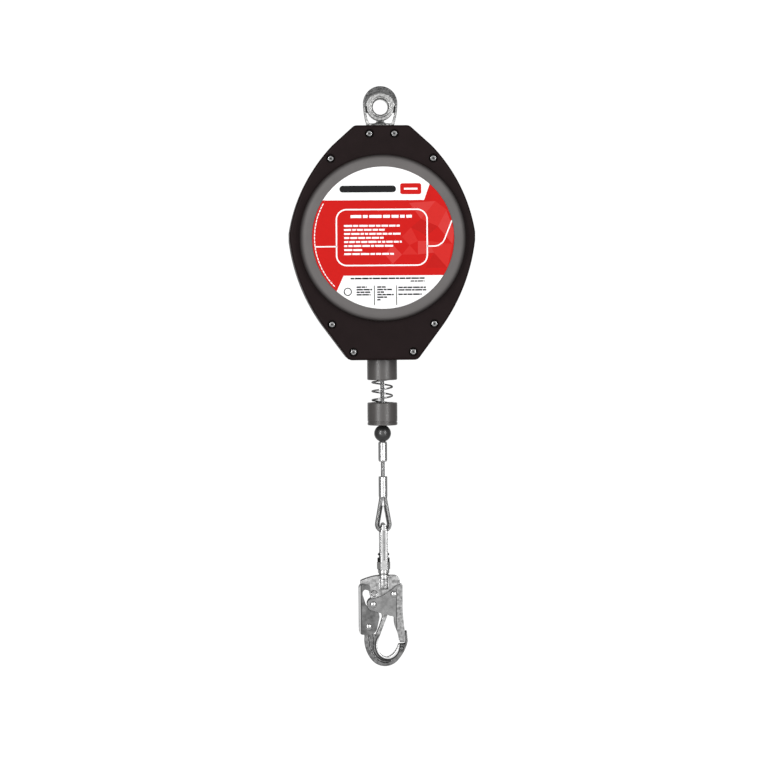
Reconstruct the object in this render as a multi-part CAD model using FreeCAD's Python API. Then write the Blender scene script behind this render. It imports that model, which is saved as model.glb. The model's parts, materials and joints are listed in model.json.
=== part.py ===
import FreeCAD, Part

# Self retracting lifeline: a wire-rope fall arrest block with its buffer, rope end and snap hook.
# Units are millimetres. The origin is the centre of the anchor eye's hole; -Y is the labelled
# front, +X is right as seen from the front, +Z is up. Each piece is one STEP file.

import math
import os

V = FreeCAD.Vector
HEX_ANGLES = [math.radians(60 * i) for i in range(7)]

# ---------------------------------------------------------------- driving dimensions
ROPE_R = 2.4  # 4.8 mm (3/16 in) galvanised rope

# housing
WALL = 3.5
SIDE_Y = 36.0  # half depth of the side walls
CAP_Y = 48.0  # half depth over the raised discs
HOUSING_TOP = -23.2
HOUSING_BOTTOM = -302.0
TOP_HALF_W = 32.6
BOTTOM_HALF_W = 41.0
MAX_HALF_W = 110.4
SEAL_HALF = 0.75
SCREW_SPOTS = [(14.8, -33.2), (61.0, -62.6), (61.0, -259.2), (35.6, -292.4)]
BOSS_R = 6.0
POCKET_R = 5.6
POCKET_DEPTH = 4.0
SCREW_R = 2.0
INSERT_R = 3.2
INSERT_LENGTH = 10.0
RIM_FILLET = 3.5
CORNER_FILLET = 8.0

# raised discs, drum and everything else that is round about the drum axis
DRUM_Z = -156.9
CAP_R = 98.8
CAP_OPENING_R = 94.0
LABEL_R = 84.0

# anchor eye
EYE_HOLE_R = 9.0
EYE_OUTER_R = 20.4
EYE_CROWN_Z = 4.6  # centre of the eye's top arc, which peaks at +25
EYE_FOOT_HALF_W = 16.2
EYE_FOOT_Z = -22.0
EYE_BOSS_R = 16.3
EYE_HALF_T = 8.0
EYE_RIM_T = 2.6
EYE_WINDOW_TOP = -6.5
COLLAR_R = 14.5
COLLAR_RISE = 5.0
STEM_R = 8.0
BLOCK_TOP = -42.0
BLOCK_BOTTOM = -58.0
BLOCK_SCREWS = [(-16.0, -50.0), (16.0, -50.0)]

# frame, drum and brake, measured along Y
PLATE_IN = 18.0
PLATE_OUT = 21.0
PILLAR_OFFSET = (55.0, 57.0)
HUB_R = 32.0
FLANGE_R = 66.0
FLANGE_IN = 14.5
FLANGE_OUT = 17.0
WOUND_R = 57.0  # outside of the wound rope
SHAFT_R = 10.0
RUN_CLEAR = 0.05  # radial clearance of every running fit
WASHER_Z = (BLOCK_BOTTOM - RUN_CLEAR - 1.5, BLOCK_BOTTOM - RUN_CLEAR)
BEARING_HOLE_R = 14.0
FRAME_SCREW_R = 3.0
BRAKE_BOLT_SHANK_R = 2.5
SHAFT_Y = (-38.0, 42.0)
CLIP_Y = (-33.0, -31.5)  # groove and clip at the shaft's front end
CLIP_GROOVE_R = 9.0

# rewind spring
CASE_R = 58.0
STRIP = (24.0, 40.0)
STRIP_T = 1.0
CASE_WALL = 2.0
STRIP_STEP = 1.5  # the radius grows by this much each half turn

# brake and pawls, in front of the front plate: layers from the rear to the front
SEAT_Y = (-27.0, -PLATE_OUT)
REAR_LINING_Y = (-29.0, -27.0)
RING_Y = (-36.0, -29.0)
FRONT_LINING_Y = (-38.0, -36.0)
PRESSURE_Y = (-40.5, -38.0)
BOLT_HEAD_Y = (-44.0, -41.7)
CARRIER_Y = (-31.0, -27.0)
CARRIER_R = 42.0
LINING_IN_R = 57.0
CLAMP_IN_R = 56.0
DISC_SPRING_R = (3.2, 4.0)
RING_TIP_R = 48.0
RING_ROOT_R = 54.0
RING_OUTER_R = 66.0
RING_TEETH = 16
NOSE_LEAD_DEG = 5.4  # from a tooth's steep face to the middle of an open pawl's nose
BRAKE_CLAMP_R = 73.5
BRAKE_BOLT_R = 69.5
PAWL_PIVOT_R = 30.0
PAWL_PIN_R = 3.0
PAWL_TIP_R = 3.0
PAWL_REACH = 36.0
PAWL_ANGLE = 120.0  # where the first pawl's pin sits; the second is opposite
PAWL_LIE_DEG = 97.5  # the closed pawl lies this far clockwise of its pin's radius
PAWL_OPEN_DEG = 9.0
PAWL_ROOT_HALF_W = 6.0
PAWL_Y = (-37.0, -31.2)
PAWL_STOP_R = 1.5
PAWL_STOP_REACH = 24.0

# outlet, buffer and rope end
SLEEVE_R = 18.0
SLEEVE_BORE_R = 3.2
SLEEVE_SOCKET_R = 13.6
OUTLET_BOTTOM = -326.6
BUFFER_TOP = -353.8
BUFFER_BOTTOM = -381.0
SPRING_MEAN_R = 12.0
SPRING_WIRE_R = 1.0
SPRING_TURNS = 5
SOCKET_DEPTH = 14.0  # how deep the spring sits in each sleeve
NECK_TOP = -293.0  # the sleeve's neck inside the housing, and the guide's lower end
NECK_R = 11.9
NECK_FLANGE_R = 15.0
GUIDE_TOP = -244.0
GUIDE_THROAT = -262.0
GUIDE_R = 12.0
GUIDE_RIM_R = 14.5
GUIDE_FLARE = (9.0, 18.0)  # the funnel widens by the first over a height of the second
ROPE_TOP = -250.0  # where the straight rope starts, in the guide's throat
BALL_R = 10.2
BALL_Z = -391.0
FERRULE_R = 5.25
STOP_FERRULE = (-401.0, -425.0)
SWAGE_FERRULE = (-443.0, -467.6)

# thimble eye
THIMBLE_IN_R = 4.4
THIMBLE_T = 1.0
THIMBLE_HALF_W = 3.6
THIMBLE_Z = -500.8
LEG_LENGTH = 22.0  # straight side of the thimble above its round end
LEG_TOP = SWAGE_FERRULE[1] + 9.6
ROPE_END = SWAGE_FERRULE[0] - 12.0
LEG_X = ROPE_R + 0.1  # half the distance between the two legs inside the ferrule
LOOP_R = THIMBLE_IN_R + THIMBLE_T + ROPE_R
SPREAD_Z = -470.0  # where the two legs begin to part

# swivel bail
BAR_R = 2.9
BAIL_PIVOT_Z = THIMBLE_Z - (THIMBLE_IN_R - BAR_R) + RUN_CLEAR
BAIL_IN_Y = 8.3
BAIL_OUT_Y = 13.6
BAIL_HALF_W = 4.7
BAIL_GROOVE_W = 1.6
BAIL_GROOVE_T = 1.2
BAIL_GROOVE_END = -543.0
BAIL_BASE = (-546.0, -554.5)
BAIL_BASE_R = 8.0
BAIL_STEP = -548.5  # top of the flat that joins the legs across the base
STUD_R = 4.0
STUD_HEAD_R = 7.5
STUD_RING_R = 7.0
STUD_FOOT_R = 4.2

# snap hook: thickness layers are measured from its middle plane
BODY_HALF_T = 6.0
LEVER_LAYER = (6.3, 7.9)
GATE_LAYER = (8.1, 9.9)
GATE_PIVOT = (11.6, -584.4)
LOCK_STUD = (-13.2, -596.6)
LEVER_PIVOT = (-18.7, -623.6)
RIVET_R = 3.0
HOOK_NECK = (-578.0, -566.4)
HOOK_NECK_R = 8.0
STUD_SEAT = (7.1, -567.0)  # radius and floor of the counterbore round the stud's lower ring
STUD_FOOT_FLOOR = -572.1
LEVER_SPRING_SEAT_R = 5.2
PIVOT_WIRE_R = 0.45
HOOK_DIMPLES = [(-11.8, -583.6, 3.8), (21.0, -650.2, 2.4)]  # x, z, radius

os.makedirs("parts", exist_ok=True)


# ---------------------------------------------------------------- drawing helpers
def save(name, shape):
    """Writes one node, after a check that it is valid."""
    if not shape.isValid():
        raise ValueError(name + " is not a valid shape")
    shape.exportStep("parts/" + name + ".step")
    print(f"{name:22s} solids {len(shape.Solids):3d}  volume {shape.Volume / 1000:9.3f} cm3")


def group(shapes):
    return Part.makeCompound(shapes)


def joined(shapes):
    return shapes[0].multiFuse(shapes[1:]).removeSplitter()


def rod_y(r, y0, y1, x=0.0, z=DRUM_Z):
    """Cylinder along Y."""
    return Part.makeCylinder(r, y1 - y0, V(x, y0, z), V(0, 1, 0))


def tube_y(r_in, r_out, y0, y1, x=0.0, z=DRUM_Z):
    return rod_y(r_out, y0, y1, x, z).cut(rod_y(r_in, y0 - 1, y1 + 1, x, z))


def rod_z(r, z0, z1, x=0.0, y=0.0):
    """Cylinder along Z from the lower z0 to the upper z1."""
    return Part.makeCylinder(r, z1 - z0, V(x, y, z0), V(0, 0, 1))


def box(x0, x1, y0, y1, z0, z1):
    return Part.makeBox(x1 - x0, y1 - y0, z1 - z0, V(x0, y0, z0))


def line(a, b):
    """Straight edge between two (x, z) points in the plane y = 0."""
    return Part.makeLine(V(a[0], 0, a[1]), V(b[0], 0, b[1]))


def arc(a, mid, b):
    """Arc edge through three (x, z) points in the plane y = 0."""
    return Part.Arc(V(a[0], 0, a[1]), V(mid[0], 0, mid[1]), V(b[0], 0, b[1])).toShape()


def outline_face(steps, start):
    """Face in y = 0. Each step is an end point, or a (middle, end) pair for an arc."""
    edges = []
    at = start
    for step in steps:
        if isinstance(step[0], tuple):
            edges.append(arc(at, step[0], step[1]))
            at = step[1]
        else:
            edges.append(line(at, step))
            at = step
    return Part.Face(Part.Wire(edges))


def prism(face, y0, y1):
    """The face, drawn in y = 0, made solid from y0 to y1."""
    moved = face.copy()
    moved.translate(V(0, y0, 0))
    return moved.extrude(V(0, y1 - y0, 0))


def revolved(points, axis_point, axis):
    """Solid of revolution of a closed polygon of 3-D points."""
    wire = Part.makePolygon(points + points[:1])
    return Part.Face(wire).revolve(axis_point, axis, 360)


def turned_z(profile):
    """Solid turned about the Z axis from (radius, z) points."""
    return revolved([V(r, 0, z) for r, z in profile], V(0, 0, 0), V(0, 0, 1))


def turned_y(profile):
    """Solid turned about the drum axis from (radius, y) points."""
    return revolved([V(r, y, DRUM_Z) for r, y in profile], V(0, 0, DRUM_Z), V(0, 1, 0))


def mirrored_y(shape):
    return shape.mirror(V(0, 0, 0), V(0, 1, 0))


def polar(r, degrees, cx=0.0, cz=DRUM_Z):
    """(x, z) at an angle from +X towards +Z about a centre."""
    a = math.radians(degrees)
    return cx + r * math.cos(a), cz + r * math.sin(a)


def spring_about(pitch, height, mean_r, wire_r, base):
    """Helical spring of round wire, rising along Z from base."""
    helix = Part.makeHelix(pitch, height, mean_r)
    helix.translate(base)
    middle = base + V(mean_r, 0, 0)
    starts = (0, 90, 180, 270)
    quarters = [Part.makeCircle(wire_r, middle, V(0, 1, 0), a, a + 90) for a in starts]
    return Part.Wire(helix.Edges).makePipeShell([Part.Wire(quarters)], True, True)


def domed_rivet(r_shank, r_head, half_grip, head_t, x, z):
    """Rivet along Y with a shallow domed head at each end."""
    ball_r = (r_head**2 + head_t**2) / (2 * head_t)
    shank = rod_y(r_shank, -half_grip, half_grip, x, z)
    dome = Part.makeSphere(ball_r, V(x, half_grip + head_t - ball_r, z))
    head = dome.common(rod_y(r_head, half_grip, half_grip + head_t + 1, x, z))
    other = mirrored_y(head)
    return joined([shank, head, other])


# ---------------------------------------------------------------- housing
def housing_face():
    """The housing's front outline: flat top and bottom, swelling to its full width at the drum."""
    right = [
        (59.0, -47.0),
        ((91.6, -92.5), (MAX_HALF_W, -150.0)),
        (MAX_HALF_W, -160.0),
        ((96.0, -216.0), (72.2, -260.0)),
        (BOTTOM_HALF_W, HOUSING_BOTTOM),
    ]
    left = [
        (-BOTTOM_HALF_W, HOUSING_BOTTOM),
        (-72.2, -260.0),
        ((-96.0, -216.0), (-MAX_HALF_W, -160.0)),
        (-MAX_HALF_W, -150.0),
        ((-91.6, -92.5), (-59.0, -47.0)),
        (-TOP_HALF_W, HOUSING_TOP),
        (TOP_HALF_W, HOUSING_TOP),
    ]
    return outline_face(right + left, (TOP_HALF_W, HOUSING_TOP))


OUTLINE = housing_face()


def inset(distance):
    """The housing outline, brought in by a distance."""
    return OUTLINE.makeOffset2D(-distance)


def screw_places():
    return [(side * x, z) for x, z in SCREW_SPOTS for side in (-1, 1)]


def rounded_block(y0, y1):
    """Housing block with rounded corners, and a rounded rim on its outer face y0."""
    block = prism(OUTLINE, y0, y1)
    corners = []
    for e in block.Edges:
        along_y = abs(abs(e.tangentAt(e.FirstParameter).y) - 1) < 1e-6
        p = e.CenterOfMass
        at_corner = p.z > HOUSING_TOP - 1 or p.z < HOUSING_BOTTOM + 1
        if along_y and at_corner:
            corners.append(e)
    block = block.makeFillet(CORNER_FILLET, corners)
    rim = [e for e in block.Edges if max(abs(v.Y - y0) for v in e.Vertexes) < 1e-6]
    return block.makeFillet(RIM_FILLET, rim)


def openings(solid):
    """Cuts the holes that both shells share: the eye's stem above and the outlet neck below."""
    stem_hole = rod_z(STEM_R + 0.5, HOUSING_TOP - 10, HOUSING_TOP + 1)
    neck_hole = rod_z(GUIDE_R, HOUSING_BOTTOM - 1, HOUSING_BOTTOM + 10)
    return solid.cut(stem_hole).cut(neck_hole)


def front_shell():
    shell = rounded_block(-SIDE_Y, -SEAL_HALF)
    shell = shell.cut(prism(inset(WALL), -SIDE_Y + WALL, 0))
    bosses = [rod_y(BOSS_R, -SIDE_Y + 1, 0, x, z) for x, z in screw_places()]
    inside = prism(inset(0.5), -SIDE_Y + 1, 0)
    bosses = [b.common(inside) for b in bosses]
    shell = shell.multiFuse(bosses)
    for x, z in screw_places():
        shell = shell.cut(rod_y(POCKET_R, -SIDE_Y - 1, -SIDE_Y + POCKET_DEPTH, x, z))
        shell = shell.cut(rod_y(SCREW_R + 0.3, -SIDE_Y, 1, x, z))
    shell = shell.cut(rod_y(CAP_OPENING_R, -SIDE_Y - 1, -SIDE_Y + WALL + 1))
    return openings(shell)


def rear_shell():
    shell = mirrored_y(rounded_block(-SIDE_Y, -SEAL_HALF))
    shell = shell.cut(prism(inset(WALL), 0, SIDE_Y - WALL))
    bosses = [rod_y(BOSS_R, 0, SIDE_Y - 1, x, z) for x, z in screw_places()]
    inside = prism(inset(0.5), 0, SIDE_Y - 1)
    bosses = [b.common(inside) for b in bosses]
    shell = shell.multiFuse(bosses)
    for x, z in screw_places():
        shell = shell.cut(rod_y(INSERT_R, -1, INSERT_LENGTH, x, z))
        shell = shell.cut(rod_y(SCREW_R + 0.3, -1, INSERT_LENGTH + 4, x, z))
    shell = shell.cut(rod_y(CAP_OPENING_R, SIDE_Y - WALL - 1, SIDE_Y + 1))
    return openings(shell)


def shell_seal():
    """Flat rubber strip in the parting line, notched round the screw bosses."""
    seal = prism(inset(0.4), -SEAL_HALF, SEAL_HALF).cut(prism(inset(WALL - 0.3), -1, 1))
    for x, z in screw_places():
        seal = seal.cut(rod_y(BOSS_R + 0.05, -1, 1, x, z))
    return openings(seal)


def raised_cap(with_label_seat):
    """Dished disc over a shell's opening: soft shoulder, flat face, spigot into the shell."""
    face_y = -CAP_Y
    disc = rod_y(CAP_R, face_y, -SIDE_Y)
    front_edge = [e for e in disc.Edges if e.Closed and abs(e.CenterOfMass.y - face_y) < 1e-3]
    disc = disc.makeFillet(9.0, front_edge)
    spigot = rod_y(CAP_OPENING_R - 0.1, -SIDE_Y, -SIDE_Y + WALL)
    cap = disc.fuse(spigot)
    hollow = turned_y(
        [
            (0.0, face_y + WALL),
            (87.0, face_y + WALL),
            (90.5, face_y + 7.0),
            (90.5, -SIDE_Y + WALL + 1),
            (0.0, -SIDE_Y + WALL + 1),
        ]
    )
    cap = cap.cut(hollow)
    if with_label_seat:
        cap = cap.cut(rod_y(LABEL_R + 0.6, face_y - 1, face_y + 0.6))
    return cap


def front_label():
    return rod_y(LABEL_R, -CAP_Y + 0.1, -CAP_Y + 0.6)


def housing_screw(x, z):
    """Button-head socket screw in its pocket."""
    head_y = -SIDE_Y + POCKET_DEPTH
    head = rod_y(3.8, head_y - 2.8, head_y, x, z)
    rim = [e for e in head.Edges if e.Closed and abs(e.CenterOfMass.y - head_y + 2.8) < 1e-3]
    head = head.makeFillet(1.4, rim)
    shank = rod_y(SCREW_R, head_y, INSERT_LENGTH - 1, x, z)
    socket = Part.makePolygon(
        [V(x + 1.5 * math.cos(a), head_y - 3, z + 1.5 * math.sin(a)) for a in HEX_ANGLES]
    )
    return head.fuse(shank).cut(Part.Face(socket).extrude(V(0, 1.9, 0)))


def screw_insert(x, z):
    return tube_y(SCREW_R, INSERT_R, 0.0, INSERT_LENGTH, x, z)


# ---------------------------------------------------------------- anchor eye
def eye_face(shrink):
    """Front outline of the eye: a round crown on sides that curve in to the collar."""
    r = EYE_OUTER_R - shrink
    foot = EYE_FOOT_HALF_W - shrink
    low = EYE_FOOT_Z + shrink
    waist = (19.3 - shrink, -9.0)
    return outline_face(
        [
            ((0.0, EYE_CROWN_Z + r), (-r, EYE_CROWN_Z)),
            ((-waist[0], waist[1]), (-foot, low)),
            (foot, low),
            (waist, (r, EYE_CROWN_Z)),
        ],
        (r, EYE_CROWN_Z),
    )


def anchor_eye():
    """Forged eye: thick crown, ring round the hole, thin rim with two windows, collar, stem."""
    low = HOUSING_TOP + 0.5
    windows = prism(eye_face(EYE_RIM_T), -4, 4).cut(rod_y(EYE_BOSS_R - 0.4, -5, 5, 0, 0))
    windows = windows.cut(box(-30, 30, -5, 5, EYE_WINDOW_TOP, 40))
    windows = windows.cut(box(-4.5, 4.5, -5, 5, -30, 0)).cut(box(-30, 30, -5, 5, -30, low + 2.5))
    web = prism(eye_face(0.5), -3.5, 3.5).cut(windows)
    ring = rod_y(EYE_BOSS_R, -EYE_HALF_T + 1.0, EYE_HALF_T - 1.0, 0, 0)
    pocket = prism(eye_face(EYE_RIM_T), -10, 10).cut(box(-30, 30, -12, 12, 1.0, 40.0))
    rim = prism(eye_face(0.0), -6.5, 6.5).cut(pocket).cut(rod_y(EYE_BOSS_R, -10, 10, 0, 0))
    hub = rod_y(EYE_HOLE_R + 3.0, -EYE_HALF_T, EYE_HALF_T, 0, 0)
    ball_r = (COLLAR_R**2 + COLLAR_RISE**2) / (2 * COLLAR_RISE)
    dome = Part.makeSphere(ball_r, V(0, 0, low + COLLAR_RISE - ball_r))
    collar = dome.common(rod_z(COLLAR_R, low, low + COLLAR_RISE + 1))
    stem = rod_z(STEM_R, -69.0, low + 1.0)
    eye = joined([web, rim, ring, hub, collar, stem])
    hole = rod_y(EYE_HOLE_R, -20, 20, 0, 0)
    lead = Part.makeCone(EYE_HOLE_R + 2.0, EYE_HOLE_R, 2.0, V(0, -EYE_HALF_T, 0), V(0, 1, 0))
    return eye.cut(hole).cut(lead).cut(mirrored_y(lead))


def hex_prism(across_flats, z0, z1):
    r = across_flats / math.sqrt(3)
    ring = Part.makePolygon([V(r * math.cos(a), r * math.sin(a), z0) for a in HEX_ANGLES])
    return Part.Face(ring).extrude(V(0, 0, z1 - z0))


def thrust_washer():
    return rod_z(13.0, *WASHER_Z).cut(rod_z(STEM_R, -80, 0))


def anchor_nut():
    return hex_prism(24.0, WASHER_Z[0] - 8.0, WASHER_Z[0]).cut(rod_z(STEM_R, -80, 0))


def top_block():
    block = box(-24, 24, -PLATE_IN, PLATE_IN, BLOCK_BOTTOM, BLOCK_TOP)
    block = block.cut(rod_z(STEM_R + RUN_CLEAR, -80, 0))
    for x, z in BLOCK_SCREWS:
        block = block.cut(rod_y(FRAME_SCREW_R, -PLATE_IN, -PLATE_IN + 8, x, z))
        block = block.cut(rod_y(FRAME_SCREW_R, PLATE_IN - 8, PLATE_IN, x, z))
    return block


# ---------------------------------------------------------------- frame
def pillar_places():
    dx, dz = PILLAR_OFFSET
    return [(sx * dx, DRUM_Z + sz * dz) for sx in (-1, 1) for sz in (-1, 1)]


def brake_bolt_places():
    return [polar(BRAKE_BOLT_R, 90 * i) for i in range(4)]


def frame_plate(y0, y1, with_brake):
    """Load-bearing side plate: notched round the screw bosses, bored for its bush and screws."""
    plate = prism(inset(15.0), y0, y1).cut(rod_y(BEARING_HOLE_R, y0 - 1, y1 + 1))
    for x, z in screw_places():
        plate = plate.cut(rod_y(BOSS_R + 1.0, y0 - 1, y1 + 1, x, z))
    for x, z in pillar_places() + BLOCK_SCREWS:
        plate = plate.cut(rod_y(FRAME_SCREW_R, y0 - 1, y1 + 1, x, z))
    if with_brake:
        for x, z in brake_bolt_places():
            plate = plate.cut(rod_y(BRAKE_BOLT_SHANK_R, y0 - 1, y1 + 1, x, z))
    return plate


def frame_pillar(x, z):
    pillar = rod_y(6.0, -PLATE_IN, PLATE_IN, x, z)
    for end in (-1, 1):
        y0, y1 = sorted((end * PLATE_IN, end * (PLATE_IN - 10)))
        pillar = pillar.cut(rod_y(FRAME_SCREW_R, y0, y1, x, z))
    return pillar


def frame_screw(x, z, side, depth):
    """Cap screw through a plate; side is -1 at the front and 1 at the rear."""
    head = rod_y(5.0, PLATE_OUT, PLATE_OUT + 4.5, x, z)
    shank = rod_y(FRAME_SCREW_R, PLATE_IN - depth, PLATE_OUT, x, z)
    screw = head.fuse(shank)
    return screw if side > 0 else mirrored_y(screw)


def frame_screws():
    screws = []
    for side in (-1, 1):
        screws += [frame_screw(x, z, side, 9.0) for x, z in pillar_places()]
        screws += [frame_screw(x, z, side, 7.0) for x, z in BLOCK_SCREWS]
    return group(screws)


def bush():
    """Flanged bronze bush in the rear plate; the front one is its mirror image."""
    sleeve = tube_y(SHAFT_R + RUN_CLEAR, BEARING_HOLE_R, PLATE_IN, PLATE_OUT)
    flange = tube_y(SHAFT_R + RUN_CLEAR, 17.0, PLATE_OUT, PLATE_OUT + 2.0)
    return joined([sleeve, flange])


# ---------------------------------------------------------------- drum
def drum():
    half = [
        (SHAFT_R, 0.0),
        (SHAFT_R, FLANGE_OUT),
        (16.0, FLANGE_OUT),
        (16.0, 2.5),
        (HUB_R - 4.0, 2.5),
        (HUB_R - 4.0, FLANGE_OUT),
        (FLANGE_R, FLANGE_OUT),
        (FLANGE_R, FLANGE_IN),
        (HUB_R, FLANGE_IN),
    ]
    mirror = [(r, -y) for r, y in reversed(half[1:])]
    return turned_y(half + mirror)


def rope_winding():
    """The stored rope as one ring, its outer face ribbed by the top layer of turns."""
    turns = 6
    edges = []
    y = -turns * ROPE_R
    low = V(HUB_R, y, DRUM_Z)
    pitch_r = WOUND_R - ROPE_R
    edges.append(Part.makeLine(low, V(pitch_r, y, DRUM_Z)))
    for _ in range(turns):
        a, b = V(pitch_r, y, DRUM_Z), V(pitch_r, y + 2 * ROPE_R, DRUM_Z)
        edges.append(Part.Arc(a, V(WOUND_R, y + ROPE_R, DRUM_Z), b).toShape())
        y += 2 * ROPE_R
    edges.append(Part.makeLine(V(pitch_r, y, DRUM_Z), V(HUB_R, y, DRUM_Z)))
    edges.append(Part.makeLine(V(HUB_R, y, DRUM_Z), low))
    return Part.Face(Part.Wire(edges)).revolve(V(0, 0, DRUM_Z), V(0, 1, 0), 360)


def drum_shaft():
    groove = tube_y(CLIP_GROOVE_R, SHAFT_R + 1, *CLIP_Y)
    return rod_y(SHAFT_R, *SHAFT_Y).cut(groove)


def shaft_clip():
    clip = tube_y(CLIP_GROOVE_R, SHAFT_R + 3.0, *CLIP_Y)
    return clip.cut(box(-2.5, 2.5, -35, -30, DRUM_Z - 20, DRUM_Z))


# ---------------------------------------------------------------- rewind spring
def spring_case():
    floor = tube_y(18.0, CASE_R, PLATE_OUT, PLATE_OUT + CASE_WALL)
    wall = tube_y(CASE_R - CASE_WALL, CASE_R, PLATE_OUT, STRIP[1] + 0.5)
    return joined([floor, wall])


def spring_case_cover():
    cover_y = STRIP[1] + 0.5
    return tube_y(SHAFT_R + 1.0, CASE_R, cover_y, cover_y + CASE_WALL)


def power_spring():
    """Flat spiral strip, drawn as half turns about two centres one step apart."""
    half_turns = int((CASE_R - CASE_WALL - STRIP_T - SHAFT_R) / STRIP_STEP) + 1
    inner, outer = [], []
    for k in range(half_turns):
        up = k % 2 == 0
        cx = 0.0 if up else STRIP_STEP
        sign = 1 if up else -1
        r_in = SHAFT_R + k * STRIP_STEP
        for edges, r in ((inner, r_in), (outer, r_in + STRIP_T)):
            start = (cx + sign * r, DRUM_Z)
            top = (cx, DRUM_Z + sign * r)
            end = (cx - sign * r, DRUM_Z)
            edges.append(arc(start, top, end))
    first = line((SHAFT_R, DRUM_Z), (SHAFT_R + STRIP_T, DRUM_Z))
    last_in = inner[-1].Vertexes[-1].Point
    last_out = outer[-1].Vertexes[-1].Point
    last = Part.makeLine(last_in, last_out)
    wire = Part.Wire(Part.__sortEdges__(inner + outer + [first, last]))
    return prism(Part.Face(wire), *STRIP)


# ---------------------------------------------------------------- centrifugal lock and brake
def pawl_pivot(k):
    return polar(PAWL_PIVOT_R, PAWL_ANGLE + 180 * k)


def pawl_tip(k, open_deg):
    """(x, z) of a pawl's nose centre when it has swung out by open_deg."""
    lie = PAWL_ANGLE + 180 * k - PAWL_LIE_DEG + open_deg
    return polar(PAWL_REACH, lie, *pawl_pivot(k))


def pawl_axes(k):
    """Unit (x, z) vectors along a closed pawl and out from its back."""
    px, pz = pawl_pivot(k)
    tx, tz = pawl_tip(k, 0.0)
    ux, uz = (tx - px) / PAWL_REACH, (tz - pz) / PAWL_REACH
    return (ux, uz), (-uz, ux)


def pawl_stop_place(k):
    """(x, z) of the stop that a closed pawl rests on, just clear of its inner side."""
    px, pz = pawl_pivot(k)
    (ux, uz), (nx, nz) = pawl_axes(k)
    slope = (PAWL_ROOT_HALF_W - PAWL_TIP_R) / PAWL_REACH
    down = PAWL_ROOT_HALF_W - slope * PAWL_STOP_REACH
    down += (PAWL_STOP_R + RUN_CLEAR) * math.hypot(1.0, slope)
    return px + ux * PAWL_STOP_REACH - nx * down, pz + uz * PAWL_STOP_REACH - nz * down


def pawl_carrier():
    disc = tube_y(SHAFT_R, CARRIER_R, *CARRIER_Y)
    boss = tube_y(SHAFT_R, 16.0, CARRIER_Y[1], CARRIER_Y[1] + 3.0)
    carrier = joined([disc, boss])
    for k in (0, 1):
        carrier = carrier.cut(rod_y(PAWL_PIN_R, -40, -20, *pawl_pivot(k)))
        carrier = carrier.cut(rod_y(PAWL_STOP_R, -40, -20, *pawl_stop_place(k)))
    return carrier


def pawl(k):
    """Lever pointing the way the drum turns as rope pays out; it pivots near the hub."""
    px, pz = pawl_pivot(k)
    tx, tz = pawl_tip(k, 0.0)
    nx, nz = pawl_axes(k)[1]
    y0, y1 = PAWL_Y
    root, tip = PAWL_ROOT_HALF_W, PAWL_TIP_R
    corners = [
        V(px + nx * root, y0, pz + nz * root),
        V(tx + nx * tip, y0, tz + nz * tip),
        V(tx - nx * tip, y0, tz - nz * tip),
        V(px - nx * root, y0, pz - nz * root),
    ]
    bar = Part.Face(Part.makePolygon(corners + corners[:1])).extrude(V(0, y1 - y0, 0))
    body = joined([bar, rod_y(root + 0.5, y0, y1, px, pz), rod_y(tip, y0, y1, tx, tz)])
    return body.cut(rod_y(PAWL_PIN_R + RUN_CLEAR, y0 - 1, y1 + 1, px, pz))


def pawl_pin(k):
    x, z = pawl_pivot(k)
    head_y = PAWL_Y[0] - 0.6
    pin = rod_y(PAWL_PIN_R, head_y, CARRIER_Y[1], x, z)
    return pin.fuse(rod_y(PAWL_PIN_R + 1.5, head_y - 1.4, head_y, x, z))


def pawl_stop(k):
    return rod_y(PAWL_STOP_R, PAWL_Y[0] + 1.0, CARRIER_Y[1], *pawl_stop_place(k))


def brake_ring():
    """Ratchet ring: inner saw teeth, set so that an open pawl's nose sits in a tooth gap."""
    tx, tz = pawl_tip(0, PAWL_OPEN_DEG)
    steep = math.degrees(math.atan2(tz - DRUM_Z, tx)) - NOSE_LEAD_DEG
    step = 360.0 / RING_TEETH
    points = []
    for i in range(RING_TEETH):
        points.append(polar(RING_TIP_R, steep + i * step))
        points.append(polar(RING_ROOT_R, steep + i * step + 0.5))
    face = Part.Face(Part.makePolygon([V(x, -40, z) for x, z in points + points[:1]]))
    return rod_y(RING_OUTER_R, *RING_Y).cut(face.extrude(V(0, 20, 0)))


def brake_bolt(x, z):
    bolt = rod_y(BRAKE_BOLT_SHANK_R, BOLT_HEAD_Y[1] - 0.3, -PLATE_IN, x, z)
    return bolt.fuse(rod_y(4.0, *BOLT_HEAD_Y, x, z))


def disc_spring(x, z):
    """Coned washer under a brake bolt's head."""
    small_r, large_r = DISC_SPRING_R
    height = PRESSURE_Y[0] - BOLT_HEAD_Y[1]
    cone = Part.makeCone(small_r, large_r, height, V(x, BOLT_HEAD_Y[1], z), V(0, 1, 0))
    return cone.cut(rod_y(BRAKE_BOLT_SHANK_R, -45, -35, x, z))


def clamp_ring(y0, y1):
    ring = tube_y(CLAMP_IN_R, BRAKE_CLAMP_R, y0, y1)
    for x, z in brake_bolt_places():
        ring = ring.cut(rod_y(BRAKE_BOLT_SHANK_R, y0 - 1, y1 + 1, x, z))
    return ring


def brake_linings():
    return group([tube_y(LINING_IN_R, RING_OUTER_R, *y) for y in (REAR_LINING_Y, FRONT_LINING_Y)])


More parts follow.
